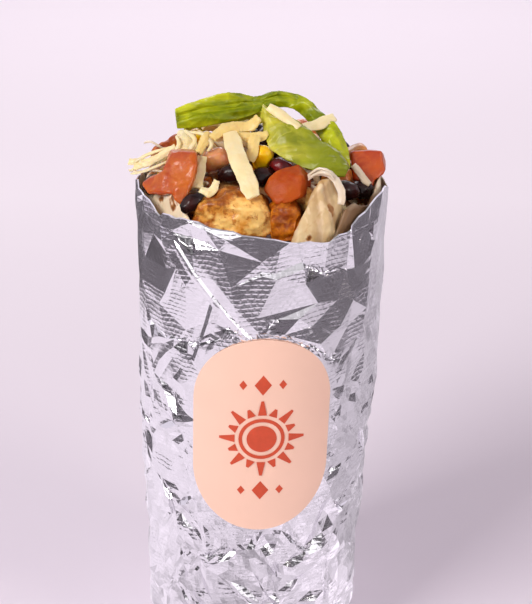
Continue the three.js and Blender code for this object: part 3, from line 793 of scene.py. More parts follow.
class BURRITO_OT_foil(bpy.types.Operator):
    """Crumples the foil and gives it its embossed metal"""

    bl_idname = "burrito.foil"
    bl_label = "Foil"

    def execute(self, context):
        settings = context.scene.burrito_wrap
        foil = self.add_tube()
        self.crumple(foil, settings.crumple_depth, *LARGE_CRUMPLES)
        self.crumple(foil, settings.crumple_depth, *MIDDLE_CRUMPLES)
        self.press_panels(foil)
        self.crumple(foil, settings.crumple_depth, *SMALL_CRUMPLES)
        self.press_folds(foil)
        self.roll_rim(foil)
        applied(foil, "SOLIDIFY", thickness=FOIL_THICKNESS, offset=-1)
        shade_smooth(foil, 4)
        lay_out_sheet(foil)
        finish_piece(foil, foil_material(chosen(settings.foil_colour)), "foil", "foil_wrap")
        return {"FINISHED"}

    def add_tube(self):
        """A jittered sheet of large facets, wrapped round and closed under the foot."""
        deselect_all()
        rows = SHEET_ROWS + FOOT_ROWS
        bpy.ops.mesh.primitive_grid_add(x_subdivisions=SHEET_COLUMNS, y_subdivisions=rows, size=1)
        foil = bpy.context.object
        foil.name = "foil"
        wall = Wall("foil_wrap")
        for vertex in foil.data.vertices:
            column = round((vertex.co.x + 0.5) * SHEET_COLUMNS)
            row = round((vertex.co.y + 0.5) * rows) - FOOT_ROWS
            vertex.co = self.sheet_corner(wall, column % SHEET_COLUMNS, row)
        with editing(foil):
            bpy.ops.mesh.remove_doubles(threshold=0.01 * MM)
            triangulate()
            bpy.ops.mesh.beautify_fill(angle_limit=math.pi)
            bpy.ops.mesh.normals_make_consistent(inside=False)
        return foil

    def sheet_corner(self, wall, column, row):
        """A corner of the large facets: on the wall, on the rim (last row), or under the foot (row < 0)."""
        turn = (column / SHEET_COLUMNS) * math.tau - math.pi
        if row <= 0:
            return wrap_point(turn, FOOT_RADIUS * (1 + row / FOOT_ROWS), 0)
        start = wrap_point(turn, RIM_RADIUS, RIM_HEIGHT * row / SHEET_ROWS)
        draw = cell_draw(start, MM, SHEET_SEED)
        turn = turn_between(turn + draw.x * 0.75 * math.tau / SHEET_COLUMNS, 0)
        rim_radius, rim_height = wall.rim(turn)
        if row == SHEET_ROWS:
            return wrap_point(turn, rim_radius, rim_height)
        height = rim_height * (row + 0.7 * draw.y) / SHEET_ROWS
        radius = wall.outside(turn, height)
        held = under_label(wrap_point(turn, radius, height), 8 * MM)
        radius += (wrap_radius(height) - radius) * held
        return wrap_point(turn, radius, height)

    def crumple(self, foil, full_depth, size, share, seed):
        """Splits every facet in four, and folds each new edge in or out a little."""
        depth = share * full_depth
        kept = len(foil.data.vertices)
        with editing(foil):
            bpy.ops.mesh.subdivide(number_cuts=1)
        for vertex in foil.data.vertices[kept:]:
            point = vertex.co.copy()
            if point.z < 1 * MM:
                continue
            turn, radius = around(point)
            held = under_label(point, 8 * MM)
            draw = cell_draw(point, 0.05 * MM, seed)
            out = 2 * depth * looseness(point) * draw.z + max(wrap_radius(point.z) - radius, 0) * held
            slide = Vector((math.cos(turn), math.sin(turn), 0)) * draw.x + Vector((0, 0, draw.y))
            freedom = 1 if size > 1 * MM else smoothstep(looseness(point), 0.3, 0.8)
            moved = point + outwards(turn) * out + slide * size * 0.45 * (1 - held) * freedom
            vertex.co = self.kept_close(moved)
        foil.data.update()

    def kept_close(self, point):
        turn, radius = around(point)
        true = wrap_radius(point.z)
        lip = 3 * MM * smoothstep(point.z, RIM_HEIGHT - 12 * MM, RIM_HEIGHT)
        wanted = min(max(radius, true + MOST_IN), true + MOST_OUT + lip)
        return point if wanted == radius or point.z < 8 * MM else wrap_point(turn, wanted, point.z)

    def cut(self, foil, start, side, near):
        """Cuts the faces for which near(centre) holds along a plane through start, square to side."""
        for polygon in foil.data.polygons:
            polygon.select = near(polygon.center)
        bpy.ops.object.mode_set(mode="EDIT")
        bpy.ops.mesh.select_mode(type="FACE")
        bpy.ops.mesh.bisect(plane_co=start, plane_no=side)
        bpy.ops.object.mode_set(mode="OBJECT")

    def merge_cuts(self, foil, distance):
        with editing(foil):
            bpy.ops.mesh.remove_doubles(threshold=distance)
            triangulate()

    def press_panels(self, foil):
        """Cuts the panels' creases into the upper foil, and flattens it between them."""
        panels = Panels()
        make_active(foil)
        for start, end in panels.creases():
            along = (end - start).normalized()
            middle, half = (start + end) / 2, (end - start).length / 2
            side = along.cross(outwards(around(middle)[0])).normalized()

            def near(centre):
                offset = centre - middle
                beside = abs(offset.dot(side)) < 3 * MM and offset.length < half + 5 * MM
                return beside and abs(offset.dot(along)) < half + 1 * MM

            self.cut(foil, start, side, near)
        self.merge_cuts(foil, 0.1 * MM)
        for vertex in foil.data.vertices:
            held = under_label(vertex.co, 1 * MM)
            radius = panels.radius(vertex.co) if held < 1 else None
            if radius is not None:
                turn, smooth = around(vertex.co)
                vertex.co = wrap_point(turn, radius + (smooth - radius) * held, vertex.co.z)
        foil.data.update()

    def press_folds(self, foil):
        """Cuts the long folds' lines into the foil, and moves them in and out."""
        folds = [LongFold(*fold) for fold in FOLDS]
        make_active(foil)
        for fold in folds:
            for distance, _ in fold.profile:
                start = fold.start + fold.across * distance
                self.cut(foil, start, fold.across, lambda centre: fold.near(centre, 1 * MM))
        self.merge_cuts(foil, 0.08 * MM)

        def press(point, _):
            return outwards(around(point)[0]) * sum(fold.depth(point) for fold in folds)

        move_points(foil, press)

    def roll_rim(self, foil):
        """Rolls the foil's cut edge a little inwards, where it catches the light."""
        with editing(foil, "DESELECT"):
            bpy.ops.mesh.select_mode(type="EDGE")
            bpy.ops.mesh.select_non_manifold(
                extend=False, use_wire=False, use_multi_face=False, use_non_contiguous=False, use_verts=False
            )
            bpy.ops.mesh.extrude_region()
        for vertex in foil.data.vertices:
            if vertex.select and vertex.co.z > ROLLED_ABOVE:
                turn, radius = around(vertex.co)
                vertex.co = wrap_point(turn, radius - ROLLED_IN, vertex.co.z + ROLLED_UP)
        foil.data.update()


def lay_out_sheet(obj):
    """A UV map in metres along and up the foil."""
    mesh = obj.data
    layer = mesh.uv_layers.new(name="sheet")
    for polygon in mesh.polygons:
        middle, _ = around(polygon.center)
        for corner in polygon.loop_indices:
            point = mesh.vertices[mesh.loops[corner].vertex_index].co
            turn, _ = around(point)
            layer.data[corner].uv = ((middle + turn_between(turn, middle)) * RIM_RADIUS, point.z)


def foil_material(shade):
    """Polished metal, embossed with short bricks that are worn flat in places, and wrinkled lower down."""
    shader = Shader("foil")
    sheet = shader.node("ShaderNodeUVMap", uv_map="sheet").outputs[0]
    in_mm = shader.mapped(scale=(1 / MM,) * 3, turn=(0, 0, -0.06), vector=sheet)
    width, row, gap = EMBOSSED_BRICK
    pattern = {"Scale": 1, "Brick Width": width, "Row Height": row, "Mortar Size": gap, "Mortar Smooth": 1}
    bricks = shader.fed("ShaderNodeTexBrick", "Fac", {"Vector": shader.shaken(in_mm, 120, 2.6), **pattern})
    worn = shader.ramp(shader.noise(95, detail=4, roughness=0.6), (0.4, 0.08), (0.6, 1.0))
    height = shader.maths("MULTIPLY", bricks, worn)
    embossed = shader.bump(height, 0.036 * MM)
    loose = shader.ramp(shader.axes()["Z"], (0.1, 1.0), (0.13, 0.25))
    wrinkles = shader.maths("MULTIPLY", shader.noise(170, detail=2), loose)
    dulled = shader.maths("MULTIPLY_ADD", height, 0.06, 0.14)
    shader.set(Base_Color=shade, Metallic=1.0, Roughness=dulled)
    shader.set(Normal=shader.bump(wrinkles, 0.22 * MM, normal=embossed))
    return shader.material


# ---- label

LABEL_POINTS = 96
LABEL_RING = 1.5 * MM
LABEL_LIFT = 0.4 * MM  # of its back above the foil's smooth wall
PAPER_THICKNESS = 0.3 * MM
PRINT_THICKNESS = 0.06 * MM
DISC_RADIUS = 4.6 * MM
RING_RADII = (6 * MM, 7.1 * MM)
RAYS = 16
RAY_START = 8.3 * MM
RAY_ENDS = (13.2 * MM, 11 * MM)  # long and short in turn
RAY_HALF_WIDTH = 1.35 * MM
RAY_TAPER = 0.3
DIAMONDS_UP = 18.6 * MM
# How far each diamond stands to the right, then half its width and half its height.
DIAMONDS = ((0, 2.6 * MM, 3.4 * MM), (-6 * MM, 1.2 * MM, 1.6 * MM), (6 * MM, 1.2 * MM, 1.6 * MM))


def wrap_onto_foil(obj, lift):
    """Bends a flat piece, drawn round the label's centre in X and Y, onto the foil."""

    def bend(point, _):
        height = LABEL_CENTRE_HEIGHT + point.y
        radius = wrap_radius(height) + lift + point.z
        return wrap_point(LABEL_TURN + point.x / radius, radius, height) - point

    move_points(obj, bend)


class BURRITO_OT_label(bpy.types.Operator):
    """Adds the label's paper, and a plain sun printed on it"""

    bl_idname = "burrito.label"
    bl_label = "Label"

    def execute(self, context):
        settings = context.scene.burrito_wrap
        paper = self.add_paper()
        wrap_onto_foil(paper, LABEL_LIFT)
        shade_smooth(paper, 40)
        finish_piece(paper, paper_material(chosen(settings.label_colour)), "label", "label")
        ink = self.add_print()
        wrap_onto_foil(ink, LABEL_LIFT + PAPER_THICKNESS)
        shade_smooth(ink, 40)
        finish_piece(ink, print_material(chosen(settings.print_colour)), "label")
        return {"FINISHED"}

    def add_paper(self):
        """A stadium of rings, so that it bends smoothly."""
        deselect_all()
        bpy.ops.mesh.primitive_circle_add(vertices=LABEL_POINTS, radius=LABEL_WIDTH / 2, fill_type="NGON")
        paper = bpy.context.object
        paper.name = "label_paper"
        for vertex in paper.data.vertices:
            vertex.co.y += LABEL_STRAIGHT if vertex.co.y > 0 else -LABEL_STRAIGHT
        with editing(paper):
            for _ in range(int(LABEL_WIDTH / 2 / LABEL_RING) - 2):
                bpy.ops.mesh.inset(thickness=LABEL_RING)
            triangulate()
        applied(paper, "SOLIDIFY", thickness=PAPER_THICKNESS, offset=1)
        return paper

    def add_print(self):
        """A sun of a disc, a ring and tapering rays, with three diamonds above it and three below."""
        parts = [self.add_ring(0, DISC_RADIUS), self.add_ring(*RING_RADII)]
        for ray in range(RAYS):
            parts.append(self.add_ray(ray * math.tau / RAYS, RAY_ENDS[ray % 2]))
        for side in (1, -1):
            for sideways, half_width, half_height in DIAMONDS:
                parts.append(self.add_diamond(side * DIAMONDS_UP, sideways, half_width, half_height))
        ink = joined(parts, "label_print")
        with editing(ink):
            triangulate()
            bpy.ops.mesh.subdivide(number_cuts=2)
            bpy.ops.mesh.normals_make_consistent(inside=False)
        return ink

    def add_ring(self, inside, outside):
        """A ring, or a disc where it has no inside."""
        deselect_all()
        bpy.ops.mesh.primitive_circle_add(vertices=48, radius=outside, fill_type="NGON")
        ring = bpy.context.object
        with editing(ring):
            bpy.ops.mesh.inset(thickness=outside - inside if inside else outside * 0.6)
            if inside:
                bpy.ops.mesh.delete(type="FACE")
        return self.thickened(ring)

    def add_ray(self, turn, end):
        """A ray that narrows outwards."""
        wide, narrow = RAY_HALF_WIDTH, RAY_TAPER * RAY_HALF_WIDTH
        return self.add_outline([(-wide, RAY_START), (wide, RAY_START), (narrow, end), (-narrow, end)], turn)

    def add_diamond(self, up, sideways, half_width, half_height):
        left, right = (sideways - half_width, up), (sideways + half_width, up)
        low, high = (sideways, up - half_height), (sideways, up + half_height)
        return self.add_outline([left, low, right, high], 0)

    def add_outline(self, corners, turn):
        deselect_all()
        bpy.ops.mesh.primitive_plane_add(size=1)
        shape = bpy.context.object
        order = (0, 1, 3, 2)  # a plane's corners run left to right and then up
        for index, (x, y) in zip(order, corners):
            turned = (x * math.cos(turn) - y * math.sin(turn), x * math.sin(turn) + y * math.cos(turn), 0)
            shape.data.vertices[index].co = turned
        return self.thickened(shape)

    def thickened(self, shape):
        applied(shape, "SOLIDIFY", thickness=PRINT_THICKNESS, offset=1)
        return shape


def paper_material(shade):
    """Slightly mottled paper with a fine tooth."""
    shader = Shader("label_paper")
    mottled = shader.turning(shader.noise(45), 0.35, 0.65, shade, brighter(shade, 0.96))
    shader.set(Base_Color=mottled, Roughness=0.5, Specular_IOR_Level=0.35)
    shader.set(Normal=shader.bump(shader.noise(900, detail=5, roughness=0.7), 0.03 * MM, 0.6))
    return shader.material


def print_material(shade):
    """Ink, a little worn."""
    shader = Shader("label_print")
    patchy = shader.turning(shader.noise(500, detail=4), 0.4, 0.7, shade, brighter(shade, 1.12))
    shader.set(Base_Color=patchy, Roughness=0.42, Specular_IOR_Level=0.4)
    shader.set(Normal=shader.bump(shader.noise(900, detail=4), 0.02 * MM, 0.5))
    return shader.material


# ---------------------------------------------------------------- the food


def refined(node, voxel, softenings=2):
    """A finely meshed copy of a frame node with its corners softened."""
    obj = copy_of_node(node, node + "_food")
    applied(obj, "REMESH", mode="VOXEL", voxel_size=voxel)
    applied(obj, "SMOOTH", factor=0.5, iterations=softenings)
    shade_smooth(obj)
    return obj


def roughen(obj, size, depth, seed, stretch=(1, 1, 1), above=-1):
    """Moves each point above a height in or out, by soft noise with bumps of the given size."""
    start = Vector((seed * 1.7, seed * 0.9, seed * 2.3))
    scale = [1 / (size * share) for share in stretch]

    def shift(point, normal):
        if point.z < above:
            return Vector()
        place = Vector([a * b for a, b in zip(point, scale)]) + start
        return normal * depth * noise.noise(place)

    move_points(obj, shift)


def nodes_of(food):
    """The frame's nodes of one food, in the order of their names."""
    return sorted(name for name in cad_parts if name.startswith(food))


# ---- tortilla

# Where the griddle browned it: a place in mm, and how far the brown spreads in mm.
BROWNED = (
    ((24.2, -27, 168), 0.8),
    ((24.4, -27, 166.8), 1.0),
    ((24.6, -27, 165.4), 0.9),
    ((17.9, -31.9, 160.2), 1.0),
    ((20.2, -28.4, 171.6), 0.8),
    ((-22.6, -22.1, 169), 1.6),
    ((-21, -24.1, 168.8), 1.2),
    ((-21.6, -23.6, 166.6), 1.3),
    ((-25.9, -17.7, 166.5), 1.5),
    ((-29.4, -16.4, 167.4), 1.3),
    ((34, -19, 164), 2.2),
    ((30, -24, 163), 1.6),
    ((38, -11, 168), 1.6),
    ((-33, 8, 171), 4),
    ((16, 31, 170), 5),
    ((-12, 33, 168), 4),
)

FLAP_TURN = math.radians(33)
# For each node: a seed, how often it is smoothed, the bread's tint, how far its painted shade goes to its
# tint (painted shade in the corner's pleat grooves, and on the wrap's shaded right side), that tint, and its
# pale ribs' tint.
BREADS = {
    "tortilla_wrap": (1, 2, (1.15, 1.14, 1.15), 0.97, (0.19, 0.11, 0.055), (0.9, 0.86, 0.8)),
    "tortilla_flap": (2, 3, (0.84, 0.77, 0.56), 0.7, (0.5, 0.32, 0.17), (1.2, 1.25, 1.5)),
}


class BURRITO_OT_tortilla(bpy.types.Operator):
    """Adds the tortilla and its corner, soft-edged, blistered and toasted"""

    bl_idname = "burrito.tortilla"
    bl_label = "Tortilla"

    def execute(self, context):
        settings = context.scene.burrito_wrap
        for node, (seed, levels, tint, *painted_shade_and_ribs) in BREADS.items():
            bread = copy_of_node(node, node + "_food")
            applied(bread, "SUBSURF", levels=levels)
            shade_smooth(bread)
            # Marks for painted shade: the corner's pleat grooves, and the wrap's right side towards the foil.
            painted_shade_marks = bread.data.attributes.new("painted_shade", "FLOAT", "POINT")
            if node == "tortilla_flap":
                self.pleat(bread, painted_shade_marks)
            else:
                self.mark_shaded_side(bread, painted_shade_marks)
            roughen(bread, 5 * MM, 0.5 * MM, seed)
            roughen(bread, 1.6 * MM, 0.2 * MM, seed + 5)
            self.mark_browned(bread)
            shade = tinted(chosen(settings.tortilla_colour), *tint)
            material = tortilla_material(node, shade, chosen(settings.toast_colour), *painted_shade_and_ribs)
            finish_piece(bread, material, "tortilla", node)
        return {"FINISHED"}

    def pleat(self, bread, painted_shade_marks):
        """Upright pleats that run together towards the corner's tip, with a mark of each point's depth, for
        painted shade in the grooves.
        """

        def wave(point):
            turn, _ = around(point)
            narrowing = 1 - 0.55 * smoothstep(point.z, 156 * MM, 176 * MM)
            across = turn_between(turn, FLAP_TURN) * RIM_RADIUS / narrowing
            across += 0.8 * MM * noise.noise(point / (4 * MM))
            return math.cos(across / (1.4 * MM)) * 0.7 + 0.25 * math.sin(across / (0.8 * MM) + 1)

        for vertex, mark in zip(bread.data.vertices, painted_shade_marks.data):
            mark.value = min(max(-wave(vertex.co), 0), 1)
        move_points(bread, lambda point, _: outwards(around(point)[0]) * 0.3 * MM * wave(point))

    def mark_shaded_side(self, bread, painted_shade_marks):
        """Marks the right side for painted shade, darker towards the foil, where the corner shades it."""
        for vertex, mark in zip(bread.data.vertices, painted_shade_marks.data):
            turn = math.degrees(around(vertex.co)[0])
            side = smoothstep(turn, 32, 40) * (1 - smoothstep(turn, 66, 80))
            mark.value = side * (1 - smoothstep(vertex.co.z, 165 * MM, 171 * MM))

    def mark_browned(self, bread):
        """Marks the browned places: 1 near their middles, and less farther out."""
        spots = [(Vector(place) * MM, size * MM) for place, size in BROWNED]
        marks = bread.data.attributes.new("browned", "FLOAT", "POINT")
        for vertex, mark in zip(bread.data.vertices, marks.data):
            near = max(1.6 - (vertex.co - place).length / size for place, size in spots)
            mark.value = min(max(near, 0), 1)


def tortilla_material(name, bread, toast, painted_shade_share, painted_shade_tint, rib_tint):
    """Floury bread with upright pale ribs, blisters, brown spots and painted shade, where the piece is marked
    for them.
    """
    shader = Shader(name)
    floury = shader.turning(shader.noise(170, detail=4), 0.35, 0.7, bread, tinted(bread, 0.84, 0.74, 0.62))
    upright = shader.mapped(scale=(1, 1, 0.2), shift=(0.02, 0, 0))
    ribs = shader.noise(420, vector=upright)
    ribbed = shader.turning(ribs, 0.5, 0.62, floury, tinted(bread, *rib_tint), 0.7)
    blisters = shader.noise(120, detail=4, roughness=0.6, distortion=0.4)
    blistered = shader.ramp(blisters, (0.62, 0.0), (0.7, 0.7))
    baked = shader.mix(blistered, ribbed, tinted(toast, 1.25, 1.3, 1.3))
    ragged = shader.ramp(shader.noise(330, detail=4), (0.36, 0.25), (0.6, 1.6))
    browning = shader.maths("MULTIPLY", shader.attribute("browned"), ragged)
    browned = shader.turning(browning, 0.3, 0.75, baked, toast)
    scorched = shader.turning(browning, 0.9, 1.0, browned, tinted(toast, 0.4, 0.3, 0.25), 0.8)
    painted_shade_marks = shader.attribute("painted_shade")
    # Painted shade: darkens the marked pleat grooves and the wrap's shaded right side.
    painted_shade_colour = shader.turning(painted_shade_marks, 0.1, 0.9, scorched, tinted(bread, *painted_shade_tint), painted_shade_share)
    shader.set(Base_Color=painted_shade_colour, Roughness=0.5, Specular_IOR_Level=0.4)
    shader.let_in_light(0.15, 1.5, (1.0, 0.6, 0.3))
    coarse = shader.bump(shader.noise(260, detail=4), 0.3 * MM, 0.6)
    shader.set(Normal=shader.bump(shader.noise(1100), 0.06 * MM, 0.6, normal=coarse))
    return shader.material


# ---- lettuce

# The arched leaf's middle, as X and Z in mm.
ARCH_MIDDLE = ((-21.6, 184.8), (-13, 187.2), (-4, 188.4), (3, 188.6), (10, 190.2), (15.4, 189.4))
CHANNEL_SIZE = 1.1 * MM
CHANNEL_UP = 0.7 * MM  # from the leaf's middle
# For each node: the way it faces, its tint, the turn of its grain, and a seed.
LEAVES = {
    "lettuce_arch": ((0, -0.8, 0.6), (1.1, 1.14, 0.2), (0.12, 0.4, -0.2), 1),
    "lettuce_blade": ((0.1, -0.7, 0.7), (1.15, 1.08, 0.9), (0.2, 0.1, 0.6), 2),
    "lettuce_back": ((0, 0.8, 0.6), (1.0, 1.0, 1.0), (0.1, 0.2, 0), 3),
}


class BURRITO_OT_lettuce(bpy.types.Operator):
    """Adds the lettuce leaves, ruffled and ribbed"""

    bl_idname = "burrito.lettuce"
    bl_label = "Lettuce"

    def execute(self, context):
        leaf = chosen(context.scene.burrito_filling.lettuce_colour)
        for node, (facing, tint, grain, seed) in LEAVES.items():
            piece = refined(node, 0.27 * MM, 2)
            if node == "lettuce_arch":
                self.crease(piece)
            self.ruffle(piece, Vector(facing).normalized(), seed)
            finish_piece(piece, leaf_material(node, tinted(leaf, *tint), grain, seed), "lettuce", node)
        return {"FINISHED"}

    def crease(self, piece):
        """Presses a channel along the arched leaf, below its rolled upper edge."""
        line = [(x * MM, z * MM) for x, z in ARCH_MIDDLE]

        def shift(point, normal):
            across = point.z - between(line, point.x) - CHANNEL_UP
            if not line[0][0] < point.x < line[-1][0] or normal.y > 0:
                return Vector()
            return Vector((0, 1, -0.3)) * CHANNEL_SIZE * math.exp(-((across / CHANNEL_SIZE) ** 2))

        move_points(piece, shift)

    def ruffle(self, piece, facing, seed):
        """Moves the leaf back and forth in broad waves, sharp folds along it, and fine ones."""
        start = Vector((seed * 3.1, seed, 0))

        def shift(point, _):
            broad = noise.noise(point / (7 * MM) + start)
            long = Vector((point.x * 0.25, point.y, point.z)) / (3.4 * MM)
            folds = 1 - 2.4 * abs(noise.noise(long + start))
            fine = noise.noise(point / (1.7 * MM) + start)
            return facing * (0.9 * broad + 0.65 * folds + 0.1 * fine) * MM

        move_points(piece, shift)


def leaf_material(name, shade, grain, seed):
    """A leaf with paler and deeper streaks along it, and a faint net of veins; the blade has painted light
    and shade, paler at its left and darker at its right.
    """
    shader = Shader(name)
    deep = tinted(shade, 0.4, 0.46, 0.08)
    pale = tinted(shade, 1.5, 1.4, 3.6)
    patches = shader.noise(75, roughness=0.6, vector=shader.mapped(shift=(seed * 0.05, 0, 0)))
    body = shader.turning(patches, 0.4, 0.58, deep, shade)
    lengthwise = shader.mapped(scale=(0.16, 1, 1), turn=grain)
    streaks = shader.noise(170, detail=4, distortion=0.4, vector=lengthwise)
    green = shader.turning(streaks, 0.46, 0.66, body, pale, 0.7)
    dark_lengthwise = shader.mapped(scale=(0.2, 1, 1), turn=grain, shift=(0, 0.03, 0))
    dark_streaks = shader.noise(210, vector=dark_lengthwise)
    shaded = shader.turning(dark_streaks, 0.54, 0.68, green, deep, 0.55)
    net = shader.shaken(shader.mapped(scale=(0.3, 1, 1), turn=grain), 130, 0.02)
    cells = {"Vector": net, "Scale": 150, "Randomness": 1}
    veins = shader.fed("ShaderNodeTexVoronoi", "Distance", cells, feature="DISTANCE_TO_EDGE")
    blade = name == "lettuce_blade"
    veined = shader.mix(shader.ramp(veins, (0.0, 0.3 if blade else 0.14), (0.08, 0.0)), shaded, pale)
    if blade:
        # Painted light and shade on the blade: paler at its left, darker towards its right side.
        x, _, _ = shader.axes()
        painted_light_left = shader.ramp(x, (0.006, 0.5), (0.014, 0.0))
        ribbed = shader.mix(painted_light_left, veined, tinted(pale, 1.1, 1.1, 1.2))
        veined = shader.turning(x, 0.013, 0.021, ribbed, tinted(deep, 1.0, 1.08, 1.1), 0.85)
    shader.set(Base_Color=veined, Roughness=0.33, Specular_IOR_Level=0.3)
    shader.let_in_light(0.3, 1.0, (0.8, 1.0, 0.1))
    puckered = shader.bump(shader.ramp(veins, (0.0, 0.0), (0.3, 1.0)), 0.18 * MM, 0.6)
    creased = shader.bump(streaks, 0.4 * MM, 0.5, normal=puckered)
    shader.set(Normal=shader.bump(shader.noise(700, detail=2), 0.06 * MM, 0.5, normal=creased))
    return shader.material


# ---- cheese and onion

DEEP_CHEESE = ("cheese_bow", "cheese_crown", "cheese_drop", "cheese_thin")
CLEAN_CUT_CHEESE = ("cheese_front", "cheese_on_leaf", "cheese_over_arch")

# Thin torn shreds, each as its width, its thickness and then places along it, all in mm.
CHEESE_WISPS = (
    (1.1, 0.7, (-23.4, -7, 175.4), (-27.4, -7.4, 173.6), (-32.5, -5.4, 171), (-36, -3.4, 169.9)),
    (
        1.2,
        0.7,
        (-22, -1.6, 177.6),
        (-26.5, -2.6, 177.2),
        (-31.7, -2, 175),
        (-35.2, -1, 172.4),
        (-37, 0.4, 171.8),
    ),
    (0.8, 0.6, (-31.6, -2.4, 174.6), (-34.6, -1.6, 173), (-34.6, -2, 171.4), (-36.4, -2, 170.2)),
    (1.6, 0.9, (-19, -2.6, 183.6), (-15.8, -6, 181.6), (-17.4, -7.6, 178.8)),
    (1.5, 0.9, (-18, -3.6, 183.2), (-13.3, -5, 183), (-10.6, -7, 180.6), (-12, -8, 178.4)),
    (1.4, 0.9, (-21.6, -2.4, 181.8), (-20.6, -4.8, 179.8), (-21.8, -6, 177.8)),
    (1.6, 0.9, (-11, -5.6, 181.2), (-5.7, -7, 181.9), (-1.2, -7.4, 181), (0.6, -8, 179.4)),
)
ONION_WISPS = (
    (
        1.1,
        0.7,
        (18, -22.4, 174.2),
        (19.6, -23.8, 176.4),
        (22.2, -25.2, 177.6),
        (24.4, -25.8, 177),
        (25.4, -26, 175.6),
    ),
    (0.9, 0.7, (18.3, -22.6, 175.9), (20.8, -23.4, 178.1), (23.6, -24.4, 178), (25.8, -25.4, 176.2)),
    (
        0.9,
        0.6,
        (-24, 2.4, 175.4),
        (-26.6, 1.4, 176.8),
        (-28.9, 1.6, 178.2),
        (-30.4, 2.2, 178.4),
        (-32, 2.6, 177.8),
    ),
    (0.9, 0.6, (-24.6, -9.6, 172.6), (-29, -6.6, 172), (-33.4, -3.6, 170.6), (-36.8, -1, 170.4)),
)


def sliced_bar(segments):
    """A unit cube that lies along X, cut across its length."""
    deselect_all()
    bpy.ops.mesh.primitive_cube_add(size=1)
    model = bpy.context.object
    bpy.ops.object.mode_set(mode="EDIT")
    bpy.ops.mesh.select_all(action="DESELECT")
    bpy.ops.object.mode_set(mode="OBJECT")
    for edge in model.data.edges:
        ends = [model.data.vertices[index].co for index in edge.vertices]
        edge.select = abs(ends[0].x - ends[1].x) > 0.5
    bpy.ops.object.mode_set(mode="EDIT")
    bpy.ops.mesh.subdivide(number_cuts=segments - 1)
    bpy.ops.object.mode_set(mode="OBJECT")
    return model


def along(places, share):
    """The place and the direction at a share of a smooth line through places."""
    steps = len(places) - 1
    step = min(int(share * steps), steps - 1)
    part = share * steps - step
    p0, p1, p2, p3 = (places[min(max(step + shift, 0), steps)] for shift in (-1, 0, 1, 2))
    bend, lean = 2 * p0 - 5 * p1 + 4 * p2 - p3, 3 * p1 - p0 - 3 * p2 + p3
    place = p1 + ((p2 - p0) * part + bend * part**2 + lean * part**3) / 2
    return place, ((p2 - p0) + bend * 2 * part + lean * 3 * part**2).normalized()


def strand(width, thickness, *points):
    """A thin shred through points in mm, narrower towards its torn ends."""
    places = [Vector(point) * MM for point in points]
    model = sliced_bar(5 * len(places))
    for vertex in model.data.vertices:
        x, y, z = vertex.co
        place, direction = along(places, x + 0.5)
        side = direction.cross(Vector((0, -0.7, 0.7))).normalized()
        size = (1 - 0.65 * abs(2 * x) ** 5) * (1 + 0.35 * noise.noise(place / (1.5 * MM))) * MM
        vertex.co = place + side * y * width * size + side.cross(direction) * z * thickness * size
    applied(model, "SUBSURF", levels=1)
    return model


class BURRITO_OT_cheese(bpy.types.Operator):
    """Adds the cheese shreds, with torn edges"""

    bl_idname = "burrito.cheese"
    bl_label = "Cheese"

    def execute(self, context):
        shade = chosen(context.scene.burrito_filling.cheese_colour)
        pale = cheese_material("cheese", shade)
        deep = cheese_material("cheese_deep", tinted(shade, 0.93, 0.84, 0.55))
        for seed, node in enumerate(nodes_of("cheese")):
            whole = node in CLEAN_CUT_CHEESE
            shred = refined(node, 0.24 * MM, 5 if whole else 2)
            roughen(shred, 4 * MM, (1.0 if node == "cheese_slab" else 0.35) * MM, seed + 60)
            roughen(shred, 1.8 * MM, (0.12 if whole else 0.26) * MM, seed)
            roughen(shred, 0.7 * MM, (0.05 if whole else 0.1) * MM, seed + 30)
            finish_piece(shred, deep if node in DEEP_CHEESE else pale, "cheese", node)
        finish_piece(joined([strand(*wisp) for wisp in CHEESE_WISPS], "cheese_wisps"), pale, "cheese")
        return {"FINISHED"}


def cheese_material(name, shade):
    """Cheese, clouded and grained as it was grated."""
    shader = Shader(name)
    cloudy = shader.turning(shader.noise(210), 0.3, 0.7, shade, tinted(shade, 0.97, 0.91, 0.74))
    shader.set(Base_Color=cloudy, Roughness=0.42, Specular_IOR_Level=0.35)
    shader.let_in_light(0.3, 1.5, (1.0, 0.75, 0.35))
    grated = shader.bump(shader.noise(420, vector=shader.mapped(scale=(1, 1, 0.4))), 0.2 * MM, 0.6)
    shader.set(Normal=shader.bump(shader.noise(1000, detail=4), 0.09 * MM, 0.7, normal=grated))
    return shader.material


class BURRITO_OT_onion(bpy.types.Operator):
    """Adds the onion slivers"""

    bl_idname = "burrito.onion"
    bl_label = "Onion"

    def execute(self, context):
        material = onion_material(chosen(context.scene.burrito_filling.onion_colour))
        for seed, node in enumerate(nodes_of("onion")):
            sliver = refined(node, 0.22 * MM, 9)
            roughen(sliver, 2.5 * MM, 0.15 * MM, seed)
            finish_piece(sliver, material, "onion", node)
        finish_piece(joined([strand(*wisp) for wisp in ONION_WISPS], "onion_wisps"), material, "onion")
        return {"FINISHED"}


def onion_material(shade):
    """Wet onion, with streaks along its layers."""
    shader = Shader("onion")
    flesh = tinted(shade, 0.88, 0.83, 0.82)
    streaks = shader.noise(300, detail=2, vector=shader.mapped(scale=(1, 1, 0.3)))
    layered = shader.turning(streaks, 0.35, 0.65, flesh, tinted(flesh, 0.92, 0.84, 0.74))
    shader.set(Base_Color=layered, Roughness=0.2, Coat_Weight=0.4, Coat_Roughness=0.08)
    shader.let_in_light(0.4, 2, (1.0, 0.9, 0.7))
    shader.set(Normal=shader.bump(streaks, 0.1 * MM, 0.6))
    return shader.material


# ---- chicken

# How much of each piece is brown, from 0 to 1 and more.
MEAT_CRUST = {"chicken_main": 0.3, "chicken_side": 0.9, "chicken_strip": 1.2, "chicken_back": 0.3}
MEAT_TINTS = {"chicken_side": (0.86, 0.6, 0.12), "chicken_strip": (0.8, 0.5, 0.25)}
